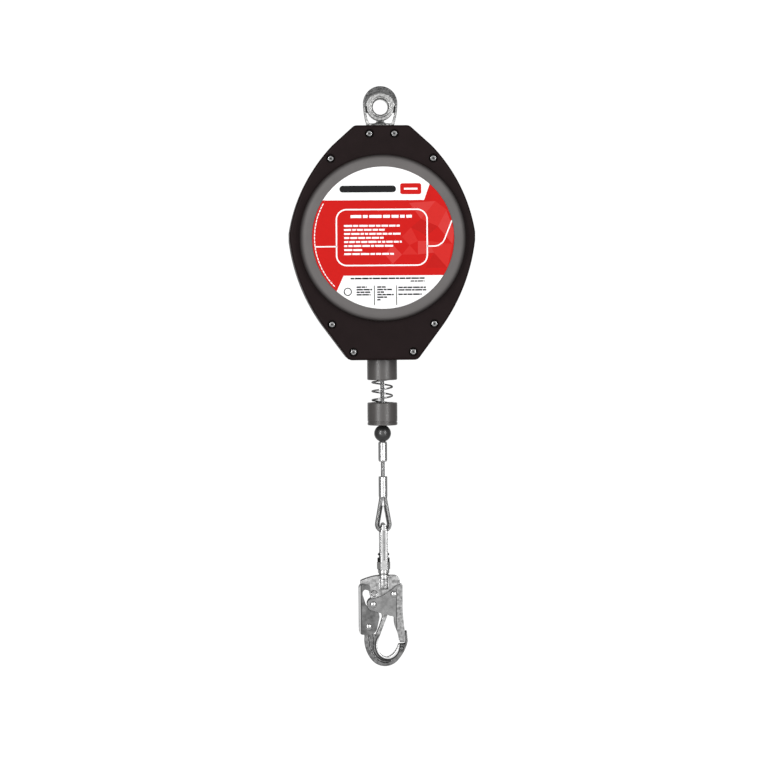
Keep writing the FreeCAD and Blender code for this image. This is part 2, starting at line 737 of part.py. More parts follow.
# ---------------------------------------------------------------- rope path inside the housing
def cable_run():
    """Rope from its tangent on the winding to the guide's throat: one straight and one arc."""
    wrap_r = WOUND_R + ROPE_R + 0.1
    bend_r = 26.0
    corner_z = -241.0
    for _ in range(20):  # the arc has to end at the straight rope's top
        reach = DRUM_Z - corner_z
        at_centre = math.acos(wrap_r / reach)
        tangent = (wrap_r * math.sin(at_centre), DRUM_Z - wrap_r * math.cos(at_centre))
        turn = math.atan2(tangent[0], tangent[1] - corner_z)
        short = bend_r * math.tan(turn / 2)
        corner_z = ROPE_TOP + short
    ux, uz = math.sin(turn), math.cos(turn)
    bend_start = (short * ux, corner_z + short * uz)
    half = turn / 2
    bend_mid = (bend_r * (1 - math.cos(half)), ROPE_TOP + bend_r * math.sin(half))
    path = Part.Wire([line(tangent, bend_start), arc(bend_start, bend_mid, (0.0, ROPE_TOP))])
    section = Part.makeCircle(ROPE_R, V(tangent[0], 0, tangent[1]), V(-ux, 0, -uz))
    run = path.makePipeShell([Part.Wire([section])], True, False)
    length = path.Length
    print(f"cable_run bend radius {bend_r:.1f}, length {length:.1f}, turn {math.degrees(turn):.1f}")
    return run


def cable_guide():
    """Nylon funnel that leads the rope into the outlet."""
    wide, high = GUIDE_FLARE
    flare = []
    for i in range(7):
        a = math.radians(15 * i)
        flare.append((SLEEVE_BORE_R + wide * (1 - math.cos(a)), GUIDE_THROAT + high * math.sin(a)))
    outside = [
        (GUIDE_RIM_R, GUIDE_TOP),
        (GUIDE_RIM_R, GUIDE_THROAT),
        (GUIDE_R, GUIDE_THROAT - 6.0),
        (GUIDE_R, NECK_TOP),
        (SLEEVE_BORE_R, NECK_TOP),
    ]
    return turned_z(flare + outside)


# ---------------------------------------------------------------- outlet and buffer
def outlet_sleeve():
    top = HOUSING_BOTTOM
    return turned_z(
        [
            (SLEEVE_BORE_R, NECK_TOP),
            (NECK_FLANGE_R, NECK_TOP),
            (NECK_FLANGE_R, top + WALL),
            (NECK_R, top + WALL),
            (NECK_R, top),
            (SLEEVE_R - 0.6, top),
            (SLEEVE_R, top - 0.6),
            (SLEEVE_R, OUTLET_BOTTOM + 0.8),
            (SLEEVE_R - 0.8, OUTLET_BOTTOM),
            (SLEEVE_SOCKET_R, OUTLET_BOTTOM),
            (SLEEVE_SOCKET_R, OUTLET_BOTTOM + SOCKET_DEPTH),
            (SLEEVE_BORE_R, OUTLET_BOTTOM + SOCKET_DEPTH),
        ]
    )


def buffer_sleeve():
    return turned_z(
        [
            (SLEEVE_SOCKET_R, BUFFER_TOP),
            (SLEEVE_R - 0.8, BUFFER_TOP),
            (SLEEVE_R, BUFFER_TOP - 0.8),
            (SLEEVE_R, BUFFER_BOTTOM + 5.0),
            (SLEEVE_R - 0.5, BUFFER_BOTTOM + 4.5),
            (SLEEVE_R - 0.5, BUFFER_BOTTOM + 3.5),
            (SLEEVE_R, BUFFER_BOTTOM + 3.0),
            (SLEEVE_R, BUFFER_BOTTOM + 0.8),
            (SLEEVE_R - 0.8, BUFFER_BOTTOM),
            (5.2, BUFFER_BOTTOM),
            (SLEEVE_BORE_R, BUFFER_BOTTOM + 1.5),
            (SLEEVE_BORE_R, BUFFER_TOP - SOCKET_DEPTH),
            (SLEEVE_SOCKET_R, BUFFER_TOP - SOCKET_DEPTH),
        ]
    )


def buffer_spring():
    low = BUFFER_TOP - SOCKET_DEPTH + SPRING_WIRE_R
    high = OUTLET_BOTTOM + SOCKET_DEPTH - SPRING_WIRE_R
    pitch = (high - low) / SPRING_TURNS
    return spring_about(pitch, high - low, SPRING_MEAN_R, SPRING_WIRE_R, V(0, 0, low))


# ---------------------------------------------------------------- rope end
def lifeline_cable():
    return rod_z(ROPE_R, ROPE_END, ROPE_TOP)


def stop_ball():
    ball = Part.makeSphere(BALL_R, V(0, 0, BALL_Z))
    return ball.cut(rod_z(ROPE_R, BALL_Z - 20, BALL_Z + 20))


def ferrule(span, taper):
    """Swaged sleeve with tapered ends, along Z between span's top and bottom."""
    top, bottom = span
    return turned_z(
        [
            (0.0, top),
            (FERRULE_R - taper, top),
            (FERRULE_R, top - 2 * taper),
            (FERRULE_R, bottom + 2 * taper),
            (FERRULE_R - taper, bottom),
            (0.0, bottom),
        ]
    )


def stop_ferrule():
    return ferrule(STOP_FERRULE, 0.8).cut(rod_z(ROPE_R, -500, 0))


def swage_ferrule():
    body = ferrule(SWAGE_FERRULE, 0.25)
    body = body.cut(rod_z(ROPE_R, ROPE_END, 0))
    for x in (-LEG_X, LEG_X):
        body = body.cut(rod_z(ROPE_R, -500, LEG_TOP, x))
    return body


def leg_lean():
    """Angle from the vertical of the line from a leg's parting point to the loop's round end."""
    down = SPREAD_Z - THIMBLE_Z
    reach = math.hypot(LEG_X, down)
    return math.asin(LOOP_R / reach) - math.atan2(LEG_X, down)


def around_thimble(r, side):
    """(x, z) where a straight leg meets the round end of radius r; side is 1 on the right."""
    lean = leg_lean()
    return side * r * math.cos(lean), THIMBLE_Z + r * math.sin(lean)


def rope_eye():
    """Rope loop: both legs leave the ferrule side by side and go round the thimble."""
    lean = leg_lean()
    bend_r = 20.0
    short = bend_r * math.tan(lean / 2)
    edges = []
    ends = {}
    for side in (1, -1):
        x = side * LEG_X
        a = (x, SPREAD_Z + short)
        b = (x + side * short * math.sin(lean), SPREAD_Z - short * math.cos(lean))
        half = lean / 2
        centre_x = x + side * bend_r
        mid = (centre_x - side * bend_r * math.cos(half), a[1] - bend_r * math.sin(half))
        edges += [line((x, LEG_TOP), a), arc(a, mid, b), line(b, around_thimble(LOOP_R, side))]
        ends[side] = around_thimble(LOOP_R, side)
    edges.append(arc(ends[1], (0.0, THIMBLE_Z - LOOP_R), ends[-1]))
    path = Part.Wire(Part.__sortEdges__(edges))
    section = Part.makeCircle(ROPE_R, path.OrderedVertexes[0].Point, V(0, 0, 1))
    loop = path.makePipeShell([Part.Wire([section])], True, False)
    print(f"rope_eye length {path.Length:.1f}, radii {bend_r:.1f} and {LOOP_R:.1f}")
    return loop


def thimble():
    """Bent strip inside the loop."""
    lean = leg_lean()
    corners = {}
    for name, r in (("in", THIMBLE_IN_R), ("out", THIMBLE_IN_R + THIMBLE_T)):
        for side in (1, -1):
            x, z = around_thimble(r, side)
            up = (x - side * LEG_LENGTH * math.sin(lean), z + LEG_LENGTH * math.cos(lean))
            corners[name, side] = ((x, z), up)
    face = outline_face(
        [
            corners["in", 1][0],
            ((0.0, THIMBLE_Z - THIMBLE_IN_R), corners["in", -1][0]),
            corners["in", -1][1],
            corners["out", -1][1],
            corners["out", -1][0],
            ((0.0, THIMBLE_Z - THIMBLE_IN_R - THIMBLE_T), corners["out", 1][0]),
            corners["out", 1][1],
            corners["in", 1][1],
        ],
        corners["in", 1][1],
    )
    return prism(face, -THIMBLE_HALF_W, THIMBLE_HALF_W)


# ---------------------------------------------------------------- swivel
def swivel_bail():
    """U-shaped strap: a round bar in the thimble, two flat legs, and a bored base."""
    top = BAIL_PIVOT_Z
    bar = Part.makeCylinder(BAR_R, 2 * BAIL_OUT_Y - 4, V(0, -BAIL_OUT_Y + 2, top), V(0, 1, 0))
    side = outline_face(
        [
            ((0.0, top + BAR_R), (BAR_R, top)),
            (BAIL_HALF_W, top - 9.0),
            (BAIL_HALF_W, BAIL_BASE[1]),
            (-BAIL_HALF_W, BAIL_BASE[1]),
            (-BAIL_HALF_W, top - 9.0),
            (-BAR_R, top),
        ],
        (-BAR_R, top),
    )
    pieces = [bar]
    half_w = BAIL_GROOVE_W / 2
    for y0, y1 in ((-BAIL_OUT_Y, -BAIL_IN_Y), (BAIL_IN_Y, BAIL_OUT_Y)):
        leg = prism(side, y0, y1)
        face_y = math.copysign(BAIL_OUT_Y, y0)
        near, far = face_y - BAIL_GROOVE_T, face_y + BAIL_GROOVE_T
        groove = box(-half_w, half_w, near, far, BAIL_GROOVE_END, top - 5.0)
        outer = [
            e
            for e in leg.Edges
            if abs(e.CenterOfMass.y) > BAIL_OUT_Y - 0.01 and e.CenterOfMass.z > BAIL_BASE[1] + 1
        ]
        pieces.append(leg.makeFillet(1.5, outer).cut(groove))
    reach = BAIL_OUT_Y - 1
    pieces.append(box(-BAIL_HALF_W, BAIL_HALF_W, -reach, reach, BAIL_BASE[1], BAIL_STEP))
    pieces.append(rod_z(BAIL_BASE_R, BAIL_BASE[1], BAIL_BASE[0]))
    return joined(pieces).cut(rod_z(STUD_R + RUN_CLEAR, -600, -530))


def swivel_stud():
    """Headed stud: the head turns on the bail's base, two rings below lead into the hook."""
    top, bottom = BAIL_BASE
    return turned_z(
        [
            (0.0, top + 10.8),
            (6.0, top + 10.8),
            (7.0, top + 9.8),
            (7.0, top + 8.4),
            (5.6, top + 7.4),
            (5.6, top + 5.8),
            (STUD_HEAD_R, top + 4.8),
            (STUD_HEAD_R, top + 1.0),
            (6.5, top + RUN_CLEAR),
            (STUD_R, top + RUN_CLEAR),
            (STUD_R, bottom - RUN_CLEAR),
            (6.2, bottom - RUN_CLEAR),
            (STUD_RING_R, bottom - 0.9),
            (STUD_RING_R, bottom - 4.6),
            (5.8, bottom - 5.5),
            (5.8, bottom - 6.1),
            (STUD_RING_R, bottom - 7.0),
            (STUD_RING_R, bottom - 11.2),
            (6.0, bottom - 12.4),
            (STUD_FOOT_R, bottom - 12.4),
            (STUD_FOOT_R, bottom - 17.5),
            (0.0, bottom - 17.5),
        ]
    )


# ---------------------------------------------------------------- snap hook
def hook_face():
    """Forged body seen from the front: head, slanting back bar, round bowl, nose and lever lug."""
    px, pz = GATE_PIVOT
    return outline_face(
        [
            (-28.2, -568.2),
            ((-16.6, -563.9), (-7.4, -562.1)),
            (12.2, -562.1),
            ((17.0, -564.4), (19.2, -570.0)),
            (px + 8.0, pz),
            ((px + 5.66, pz - 5.66), (px, pz - 8.0)),
            ((6.4, -600.5), (3.6, -611.0)),
            ((-3.0, -628.2), (-8.6, -643.3)),
            ((-7.6, -651.9), (-3.0, -658.6)),
            ((2.2, -661.0), (7.6, -659.5)),
            ((13.2, -654.0), (17.0, -645.5)),
            (25.3, -645.0),
            (25.3, -631.0),
            ((26.4, -629.6), (27.4, -631.5)),
            (28.3, -641.4),
            ((24.3, -652.8), (17.6, -662.9)),
            ((1.2, -671.6), (-14.6, -664.8)),
            ((-21.6, -653.2), (-23.6, -637.0)),
            (-24.6, -626.0),
            ((-18.7, -617.4), (-13.0, -625.0)),
            (-12.4, -633.0),
            ((-11.2, -634.4), (-9.8, -633.0)),
            ((-5.8, -623.5), (-2.4, -613.0)),
            ((-5.0, -604.6), (-9.8, -599.3)),
            (-15.6, -592.6),
            (-17.4, -583.0),
            ((-18.6, -580.2), (-21.0, -579.2)),
            (-23.6, -578.8),
            (-24.2, -573.9),
            (-28.0, -573.4),
        ],
        (-28.0, -573.4),
    )


def hook_groove():
    """Shallow forged channel that follows the hook's bowl between its inner and outer flange."""
    return outline_face(
        [
            ((-14.9, -654.6), (-8.6, -663.4)),
            ((0.8, -667.4), (9.6, -664.6)),
            ((5.0, -664.6), (1.4, -664.4)),
            ((-8.6, -660.0), (-12.6, -648.0)),
            (-13.6, -634.0),
            ((-16.4, -631.6), (-19.2, -634.2)),
            (-18.6, -642.0),
        ],
        (-18.6, -642.0),
    )


def hook_body():
    body = prism(hook_face(), -BODY_HALF_T, BODY_HALF_T)
    body = joined([body, rod_z(HOOK_NECK_R, *HOOK_NECK)])
    seat_r, seat_floor = STUD_SEAT
    body = body.cut(rod_z(seat_r, seat_floor, -550)).cut(rod_z(STUD_FOOT_R, STUD_FOOT_FLOOR, -560))
    body = body.cut(rod_y(RIVET_R, -20, 20, *GATE_PIVOT))
    body = body.cut(rod_y(RIVET_R, -20, 20, *LEVER_PIVOT))
    body = body.cut(rod_y(LEVER_SPRING_SEAT_R, -BODY_HALF_T - 1, -BODY_HALF_T + 2.0, *LEVER_PIVOT))
    recesses = [rod_y(r, BODY_HALF_T - 1.6, BODY_HALF_T + 1, x, z) for x, z, r in HOOK_DIMPLES]
    recesses.append(prism(hook_groove(), BODY_HALF_T - 1.8, BODY_HALF_T + 1))
    for recess in recesses:
        body = body.cut(recess).cut(mirrored_y(recess))
    return body


def hook_rivets():
    pivot = domed_rivet(RIVET_R, 4.4, GATE_LAYER[1] + 0.1, 2.0, *GATE_PIVOT)
    lever = domed_rivet(RIVET_R, 4.2, LEVER_LAYER[1] + 0.1, 1.9, *LEVER_PIVOT)
    return group([pivot, lever])


def gate_face():
    """One cheek of the gate: a plate over the hook's head that runs down into the bar."""
    x, z = LOCK_STUD
    return outline_face(
        [
            ((-7.4, -588.4), (2.2, -583.6)),
            ((7.4, -580.0), (12.6, -576.2)),
            ((17.0, -573.4), (22.1, -573.6)),
            (22.1, -605.6),
            (23.4, -621.0),
            (25.1, -633.0),
            (25.1, -642.4),
            (18.4, -642.4),
            ((16.8, -634.2), (13.6, -625.6)),
            ((12.3, -619.0), (12.2, -614.5)),
            ((10.9, -611.6), (7.5, -610.6)),
            (3.9, -609.2),
            (-5.9, -606.6),
            (x - 1.2, z - 7.1),
            ((x - 7.2, z), (x - 3.1, z + 6.5)),
        ],
        (x - 3.1, z + 6.5),
    )


def gate():
    """Pressed channel: two cheeks joined by a web down the outer edge."""
    inner, outer = GATE_LAYER
    cheek = prism(gate_face(), inner, outer)
    web_face = outline_face(
        [
            (22.1, -573.6),
            (22.1, -605.6),
            (23.4, -621.0),
            (25.1, -633.0),
            (25.1, -642.4),
            (23.1, -642.4),
            (23.1, -633.2),
            (21.4, -621.2),
            (20.1, -605.6),
            (20.1, -573.6),
        ],
        (20.1, -573.6),
    )
    channel = joined([cheek, mirrored_y(cheek), prism(web_face, -outer, outer)])
    channel = channel.cut(rod_y(RIVET_R + RUN_CLEAR, -20, 20, *GATE_PIVOT))
    return channel.cut(rod_y(RIVET_R, -20, 20, *LOCK_STUD))


def lock_studs():
    """A stud in each cheek of the gate, flush inside, standing over the lever's shoulder."""
    through = domed_rivet(RIVET_R, 4.2, GATE_LAYER[1], 1.9, *LOCK_STUD)
    return through.cut(rod_y(RIVET_R + 1, -GATE_LAYER[0], GATE_LAYER[0], *LOCK_STUD))


def lever_face():
    """One cheek of the lock lever: arm and hooked top round a slot, broad pad at its rivet."""
    return outline_face(
        [
            ((-29.2, -574.2), (-26.0, -572.6)),
            (-20.2, -573.0),
            ((-17.8, -574.4), (-17.0, -577.0)),
            (-17.2, -581.0),
            ((-21.6, -578.4), (-25.8, -582.6)),
            (-25.8, -584.6),
            (-22.2, -596.2),
            ((-20.6, -599.2), (-17.8, -600.8)),
            (-12.5, -603.6),
            (-6.4, -607.4),
            (-5.6, -612.0),
            (-8.6, -625.6),
            ((-12.0, -631.0), (-18.0, -633.2)),
            (-25.6, -633.0),
            ((-29.0, -631.6), (-30.0, -628.0)),
            (-30.2, -577.5),
        ],
        (-30.2, -577.5),
    )


def lock_lever():
    inner, outer = LEVER_LAYER
    cheek = prism(lever_face(), inner, outer)
    web = box(-30.2, -28.5, -outer, outer, -626.0, -577.5)
    lever = joined([cheek, mirrored_y(cheek), web])
    return lever.cut(rod_y(RIVET_R + RUN_CLEAR, -20, 20, *LEVER_PIVOT))


def pivot_coil(pivot, y_low, height, mean_r):
    """Torsion spring round a hook rivet, between the body and a cheek."""
    coil = spring_about(height, height, mean_r, PIVOT_WIRE_R, V(0, 0, 0))
    coil.rotate(V(0, 0, 0), V(1, 0, 0), -90)
    coil.translate(V(pivot[0], y_low, pivot[1]))
    return coil


# ---------------------------------------------------------------- all pieces
def main():
    save("front_shell", front_shell())
    save("rear_shell", rear_shell())
    save("shell_seal", shell_seal())
    save("front_cap", raised_cap(True))
    save("rear_cap", mirrored_y(raised_cap(False)))
    save("front_label", front_label())
    save("housing_screws", group([housing_screw(x, z) for x, z in screw_places()]))
    save("screw_inserts", group([screw_insert(x, z) for x, z in screw_places()]))

    save("anchor_eye", anchor_eye())
    save("thrust_washer", thrust_washer())
    save("anchor_nut", anchor_nut())
    save("top_block", top_block())

    save("frame_plate_front", frame_plate(-PLATE_OUT, -PLATE_IN, True))
    save("frame_plate_rear", frame_plate(PLATE_IN, PLATE_OUT, False))
    save("frame_pillars", group([frame_pillar(x, z) for x, z in pillar_places()]))
    save("frame_screws", frame_screws())
    save("rear_bush", bush())
    save("front_bush", mirrored_y(bush()))

    save("drum", drum())
    save("rope_winding", rope_winding())
    save("drum_shaft", drum_shaft())
    save("shaft_clip", shaft_clip())

    save("spring_case", spring_case())
    save("power_spring", power_spring())
    save("spring_case_cover", spring_case_cover())

    save("pawl_carrier", pawl_carrier())
    save("pawl_1", pawl(0))
    save("pawl_2", pawl(1))
    save("pawl_pins", group([pawl_pin(0), pawl_pin(1)]))
    save("pawl_stops", group([pawl_stop(0), pawl_stop(1)]))
    save("brake_ring", brake_ring())
    save("brake_linings", brake_linings())
    save("brake_seat", clamp_ring(*SEAT_Y))
    save("pressure_plate", clamp_ring(*PRESSURE_Y))
    save("brake_bolts", group([brake_bolt(x, z) for x, z in brake_bolt_places()]))
    save("disc_springs", group([disc_spring(x, z) for x, z in brake_bolt_places()]))

    save("cable_run", cable_run())
    save("cable_guide", cable_guide())
    save("outlet_sleeve", outlet_sleeve())
    save("buffer_spring", buffer_spring())
    save("buffer_sleeve", buffer_sleeve())

    save("lifeline_cable", lifeline_cable())
    save("stop_ball", stop_ball())
    save("stop_ferrule", stop_ferrule())
    save("swage_ferrule", swage_ferrule())
    save("rope_eye", rope_eye())
    save("thimble", thimble())

    save("swivel_bail", swivel_bail())
    save("swivel_stud", swivel_stud())
    save("hook_body", hook_body())
    save("hook_rivets", hook_rivets())
    save("gate", gate())
    save("lock_studs", lock_studs())
    save("lock_lever", lock_lever())
    save("gate_spring", pivot_coil(GATE_PIVOT, BODY_HALF_T + 0.5, 1.1, 4.6))
    save("lever_spring", pivot_coil(LEVER_PIVOT, -BODY_HALF_T + 0.5, 1.0, 4.2))


main()
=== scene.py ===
import json
import math

import bpy
import numpy as np
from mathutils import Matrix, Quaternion, Vector


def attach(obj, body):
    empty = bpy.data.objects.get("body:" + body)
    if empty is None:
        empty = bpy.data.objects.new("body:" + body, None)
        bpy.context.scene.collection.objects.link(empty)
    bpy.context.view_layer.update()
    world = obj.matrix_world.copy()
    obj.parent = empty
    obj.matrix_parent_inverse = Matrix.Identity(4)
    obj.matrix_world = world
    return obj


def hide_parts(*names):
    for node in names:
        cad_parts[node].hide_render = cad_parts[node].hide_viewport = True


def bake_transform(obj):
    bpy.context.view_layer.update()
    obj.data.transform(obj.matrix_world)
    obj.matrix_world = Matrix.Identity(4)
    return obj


# The look of a self retracting lifeline: finishes for every CAD piece, the printed front label,
# the stranded rope and its eye, and the buffer spring. Metres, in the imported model's frame.

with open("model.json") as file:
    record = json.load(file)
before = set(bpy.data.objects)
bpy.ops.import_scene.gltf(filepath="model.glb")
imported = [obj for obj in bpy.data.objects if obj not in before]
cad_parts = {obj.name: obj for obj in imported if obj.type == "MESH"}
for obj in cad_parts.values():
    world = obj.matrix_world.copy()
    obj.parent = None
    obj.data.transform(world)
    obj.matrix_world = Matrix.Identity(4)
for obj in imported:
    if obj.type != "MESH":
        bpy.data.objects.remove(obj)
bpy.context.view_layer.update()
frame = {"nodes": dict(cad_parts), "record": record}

MM = 0.001
DRUM_Z = -156.9 * MM  # also the centre of the disc and of its label

# rope path, as the CAD has it
ROPE_D = 4.8 * MM
ROPE_TOP = -250.0 * MM
ROPE_SPLIT = -300.0 * MM  # the hidden stretch above ends and the free rope begins
ROPE_JOG = (-444.0 * MM, -456.0 * MM)  # inside the ferrule, where the rope shifts to one side
LEG_X = 2.5 * MM
LEG_END = -458.0 * MM
SPREAD_Z = -470.0 * MM
SPREAD_BEND_R = 20.0 * MM
THIMBLE_Z = -500.8 * MM
LOOP_R = 7.8 * MM

# the rope's strands
STRANDS = 6
STRAND_R = 0.86 * MM
LAY = 17.0 * MM  # length of one full turn of a strand
STEP = 0.8 * MM
HELIX_R = ROPE_D / 2 - STRAND_R
CORE_R = 0.62 * HELIX_R

# buffer spring, as the CAD has it
SPRING_LOW = -366.8 * MM
SPRING_HIGH = -313.6 * MM
SPRING_R = 12.0 * MM
SPRING_WIRE_R = 1.05 * MM
SPRING_TURNS = 5
SPRING_STEPS = 40  # per turn

# label, in millimetres from its centre; its face is just behind the disc's
LABEL_R = 84.0
LABEL_Y = -47.9
INK = 0.03  # each printed layer stands this far in front of the one below

# where a finish changes on its piece, and where painted highlights and painted shade lie on it
DISC_SHOULDER = (94.0 * MM, 99.0 * MM)  # radius
# radius and height over which the painted shade on the eye's crown comes in
EYE_RIM_SHADE = (15.0 * MM, 17.5 * MM)  # radius
EYE_CROWN_SHADE = (-20.0 * MM, 6.0 * MM)  # height
STUD_HEAD = (-547.0 * MM, -546.0 * MM)  # height
# where the gate's painted highlight and its dark line of painted shade lie
GATE_SPINE_HIGHLIGHT = (14.2 * MM, 15.0 * MM)  # x
GATE_SPINE_HIGHLIGHT_TOP = (-574.5 * MM, -576.5 * MM)  # height
GATE_CREASE_SHADE = 14.6 * MM  # x
GATE_CREASE_SHADE_TOP = (-576.5 * MM, -578.5 * MM)  # height
# where the lever's painted highlight and its dark line of painted shade lie
LEVER_EDGE_HIGHLIGHT = (-28.0 * MM, -28.6 * MM)  # x
LEVER_CREASE_SHADE = -27.6 * MM  # x
# half widths of the dark lines of painted shade on the gate and the lever
CREASE_SHADE = (0.2 * MM, 0.7 * MM)  # half width of the dark part and of the whole
BOWL_X = 4.0 * MM
BOWL_Z = -646.5 * MM
BOWL_STRETCH = 1.15  # the bowl is this much taller than wide
BOWL_TOP = (-622.0 * MM, -640.0 * MM)  # height
# where the bowl's painted highlight and its dark line of painted shade lie
BOWL_FLANGE_HIGHLIGHT = (15.6 * MM, 16.4 * MM)  # half height of the flange
BOWL_LINE_SHADE = 17.2 * MM  # half height of the line round the flange
BOWL_LINE_SHADE_WIDTH = (0.4 * MM, 1.1 * MM)  # half width of the dark part and of the whole

# the noise values between which one tone, or one roughness, turns into the other
WIDE = (0.25, 0.75)
SOFT = (0.3, 0.7)
EVEN = (0.32, 0.68)
CRISP = (0.35, 0.65)


def grey(level):
    return (level, level, level)


EDGE_TINT = grey(0.15)  # how strongly a metal reflects at its grazing edges


# ---------------------------------------------------------------- node helpers
class Nodes:
    """Shorthand for building one material's node tree."""

    MIX_COLOURS = (6, 7)  # the Mix node's inputs and output for colours
    MIX_RESULT = 2
    CORNER_SAMPLES = 8

    def __init__(self, name):
        self.material = bpy.data.materials.new(name)
        self.material.use_nodes = True
        self.tree = self.material.node_tree
        self.shader = self.tree.nodes["Principled BSDF"]
        coords = self.tree.nodes.new("ShaderNodeTexCoord")
        self.object_coords = coords.outputs["Object"]

    def link(self, out, socket):
        self.tree.links.new(out, socket)

    def feed(self, socket, value):
        """Gives a socket a number, a colour or another node's output."""
        if isinstance(value, bpy.types.NodeSocket):
            self.link(value, socket)
        elif isinstance(value, tuple):
            socket.default_value = (*value, 1.0)
        else:
            socket.default_value = value

    def set(self, **values):
        """Feeds the shader's inputs; an underscore stands for a space in an input's name."""
        for key, value in values.items():
            self.feed(self.shader.inputs[key.replace("_", " ")], value)

    def axes(self):
        node = self.tree.nodes.new("ShaderNodeSeparateXYZ")
        self.link(self.object_coords, node.inputs["Vector"])
        return node.outputs["X"], node.outputs["Y"], node.outputs["Z"]

    def noise(self, scale, detail, squeeze=None):
        """Noise from 0 to 1 in object space; squeeze is how much finer it is along each axis."""
        node = self.tree.nodes.new("ShaderNodeTexNoise")
        node.inputs["Scale"].default_value = scale
        node.inputs["Detail"].default_value = detail
        source = self.object_coords
        if squeeze:
            mapping = self.tree.nodes.new("ShaderNodeMapping")
            mapping.inputs["Scale"].default_value = squeeze
            self.link(source, mapping.inputs["Vector"])
            source = mapping.outputs["Vector"]
        self.link(source, node.inputs["Vector"])
        return node.outputs["Fac"]

    def ramp(self, factor, blend, dark, light):
        """One colour below the blend's first value, another above its second, and a mix between."""
        node = self.tree.nodes.new("ShaderNodeValToRGB")
        for element, position, rgb in zip(node.color_ramp.elements, blend, (dark, light)):
            element.position = position
            element.color = (*rgb, 1.0)
        self.link(factor, node.inputs["Fac"])
        return node.outputs["Color"]

    def mottle(self, scale, detail, blend, dark, light):
        """Two tones in patches."""
        return self.ramp(self.noise(scale, detail), blend, dark, light)

    def span(self, value, low, high, to_low=0.0, to_high=1.0):
        """Maps low to high onto to_low to to_high, and holds the ends beyond them."""
        node = self.tree.nodes.new("ShaderNodeMapRange")
        node.inputs["From Min"].default_value = low
        node.inputs["From Max"].default_value = high
        node.inputs["To Min"].default_value = to_low
        node.inputs["To Max"].default_value = to_high
        self.link(value, node.inputs["Value"])
        return node.outputs["Result"]

    def math(self, operation, a, b=0.0):
        node = self.tree.nodes.new("ShaderNodeMath")
        node.operation = operation
        self.feed(node.inputs[0], a)
        self.feed(node.inputs[1], b)
        return node.outputs["Value"]

    def length(self, a, b):
        """Length of the flat vector (a, b)."""
        squares = self.math("ADD", self.math("MULTIPLY", a, a), self.math("MULTIPLY", b, b))
        return self.math("SQRT", squares)

    def line(self, value, centre, width):
        """1 near the centre, 0 away from it; width is the half widths where the fall starts and ends."""
        gap = self.math("ABSOLUTE", self.math("SUBTRACT", value, centre))
        return self.span(gap, *width, 1.0, 0.0)

    def mix(self, factor, a, b, blend="MIX"):
        """Mixes two colours, each an rgb tuple or a socket."""
        node = self.tree.nodes.new("ShaderNodeMix")
        node.data_type = "RGBA"
        node.blend_type = blend
        self.feed(node.inputs["Factor"], factor)
        for index, value in zip(self.MIX_COLOURS, (a, b)):
            self.feed(node.inputs[index], value)
        return node.outputs[self.MIX_RESULT]

    def painted_corner_shade(self, tone, reach, least, between=(0.3, 0.9)):
        """The tone with painted shade: darkened to least of itself deep in corners closer than reach."""
        node = self.tree.nodes.new("ShaderNodeAmbientOcclusion")
        node.samples = self.CORNER_SAMPLES
        node.inputs["Distance"].default_value = reach
        shade = self.span(node.outputs["AO"], *between, least, 1.0)
        return self.mix(1.0, tone, shade, "MULTIPLY")

    def bump(self, height, distance):
        """Roughens the surface: a height of 1 stands out by distance."""
        node = self.tree.nodes.new("ShaderNodeBump")
        node.inputs["Strength"].default_value = 1.0
        node.inputs["Distance"].default_value = distance
        self.link(height, node.inputs["Height"])
        self.link(node.outputs["Normal"], self.shader.inputs["Normal"])


# ---------------------------------------------------------------- families of finishes
def plastic(name, dark, light, rough, gloss, grain, depth):
    """Moulded plastic or rubber: two close tones in soft patches, with a fine grain."""
    patch, swing = 60.0, 0.06
    n = Nodes(name)
    fine = n.noise(grain, 2.0)
    n.set(Base_Color=n.mottle(patch, 4.0, SOFT, dark, light), Specular_IOR_Level=gloss)
    n.set(Roughness=n.span(fine, *SOFT, rough - swing, rough + swing))
    n.bump(fine, depth)
    return n.material


def metal(name, dark, light, rough, patch=90.0, depth=0.06 * MM, brushed=None):
    """Plated or ground metal: mottled tone, painted shade in corners, uneven gloss, dim at its edges."""
    grain = 700.0
    n = Nodes(name)
    fine = n.noise(grain, 3.0, brushed)
    tone = n.mottle(patch, 5.0, EVEN, dark, light)
    # painted shade: the tone darkens deep in corners
    n.set(Base_Color=n.painted_corner_shade(tone, 3 * MM, 0.12), Metallic=1.0, Specular_Tint=EDGE_TINT)
    n.set(Roughness=n.span(fine, *WIDE, rough - 0.03, rough + 0.05))
    n.bump(fine, depth)
    return n.material


def flat_print(name, rgb):
    """Printed film: one ink with a trace of unevenness."""
    n = Nodes(name)
    darker = tuple(0.96 * c for c in rgb)
    n.set(Base_Color=n.mottle(300.0, 2.0, SOFT, darker, rgb), Roughness=0.42, Specular_IOR_Level=0.12)
    return n.material


# ---------------------------------------------------------------- finishes of single pieces
def disc_finish():
    """Grey face that darkens over the disc's rounded shoulder."""
    n = Nodes("disc_grey")
    x, _, z = n.axes()
    radius = n.length(x, n.math("SUBTRACT", z, DRUM_Z))
    face = n.mottle(40.0, 3.0, SOFT, (0.128, 0.120, 0.118), (0.142, 0.133, 0.131))
    n.set(Base_Color=n.mix(n.span(radius, *DISC_SHOULDER), face, (0.012, 0.008, 0.008)))
    n.set(Specular_IOR_Level=0.18, Roughness=0.5)
    n.bump(n.noise(1300.0, 2.0), 0.03 * MM)
    return n.material


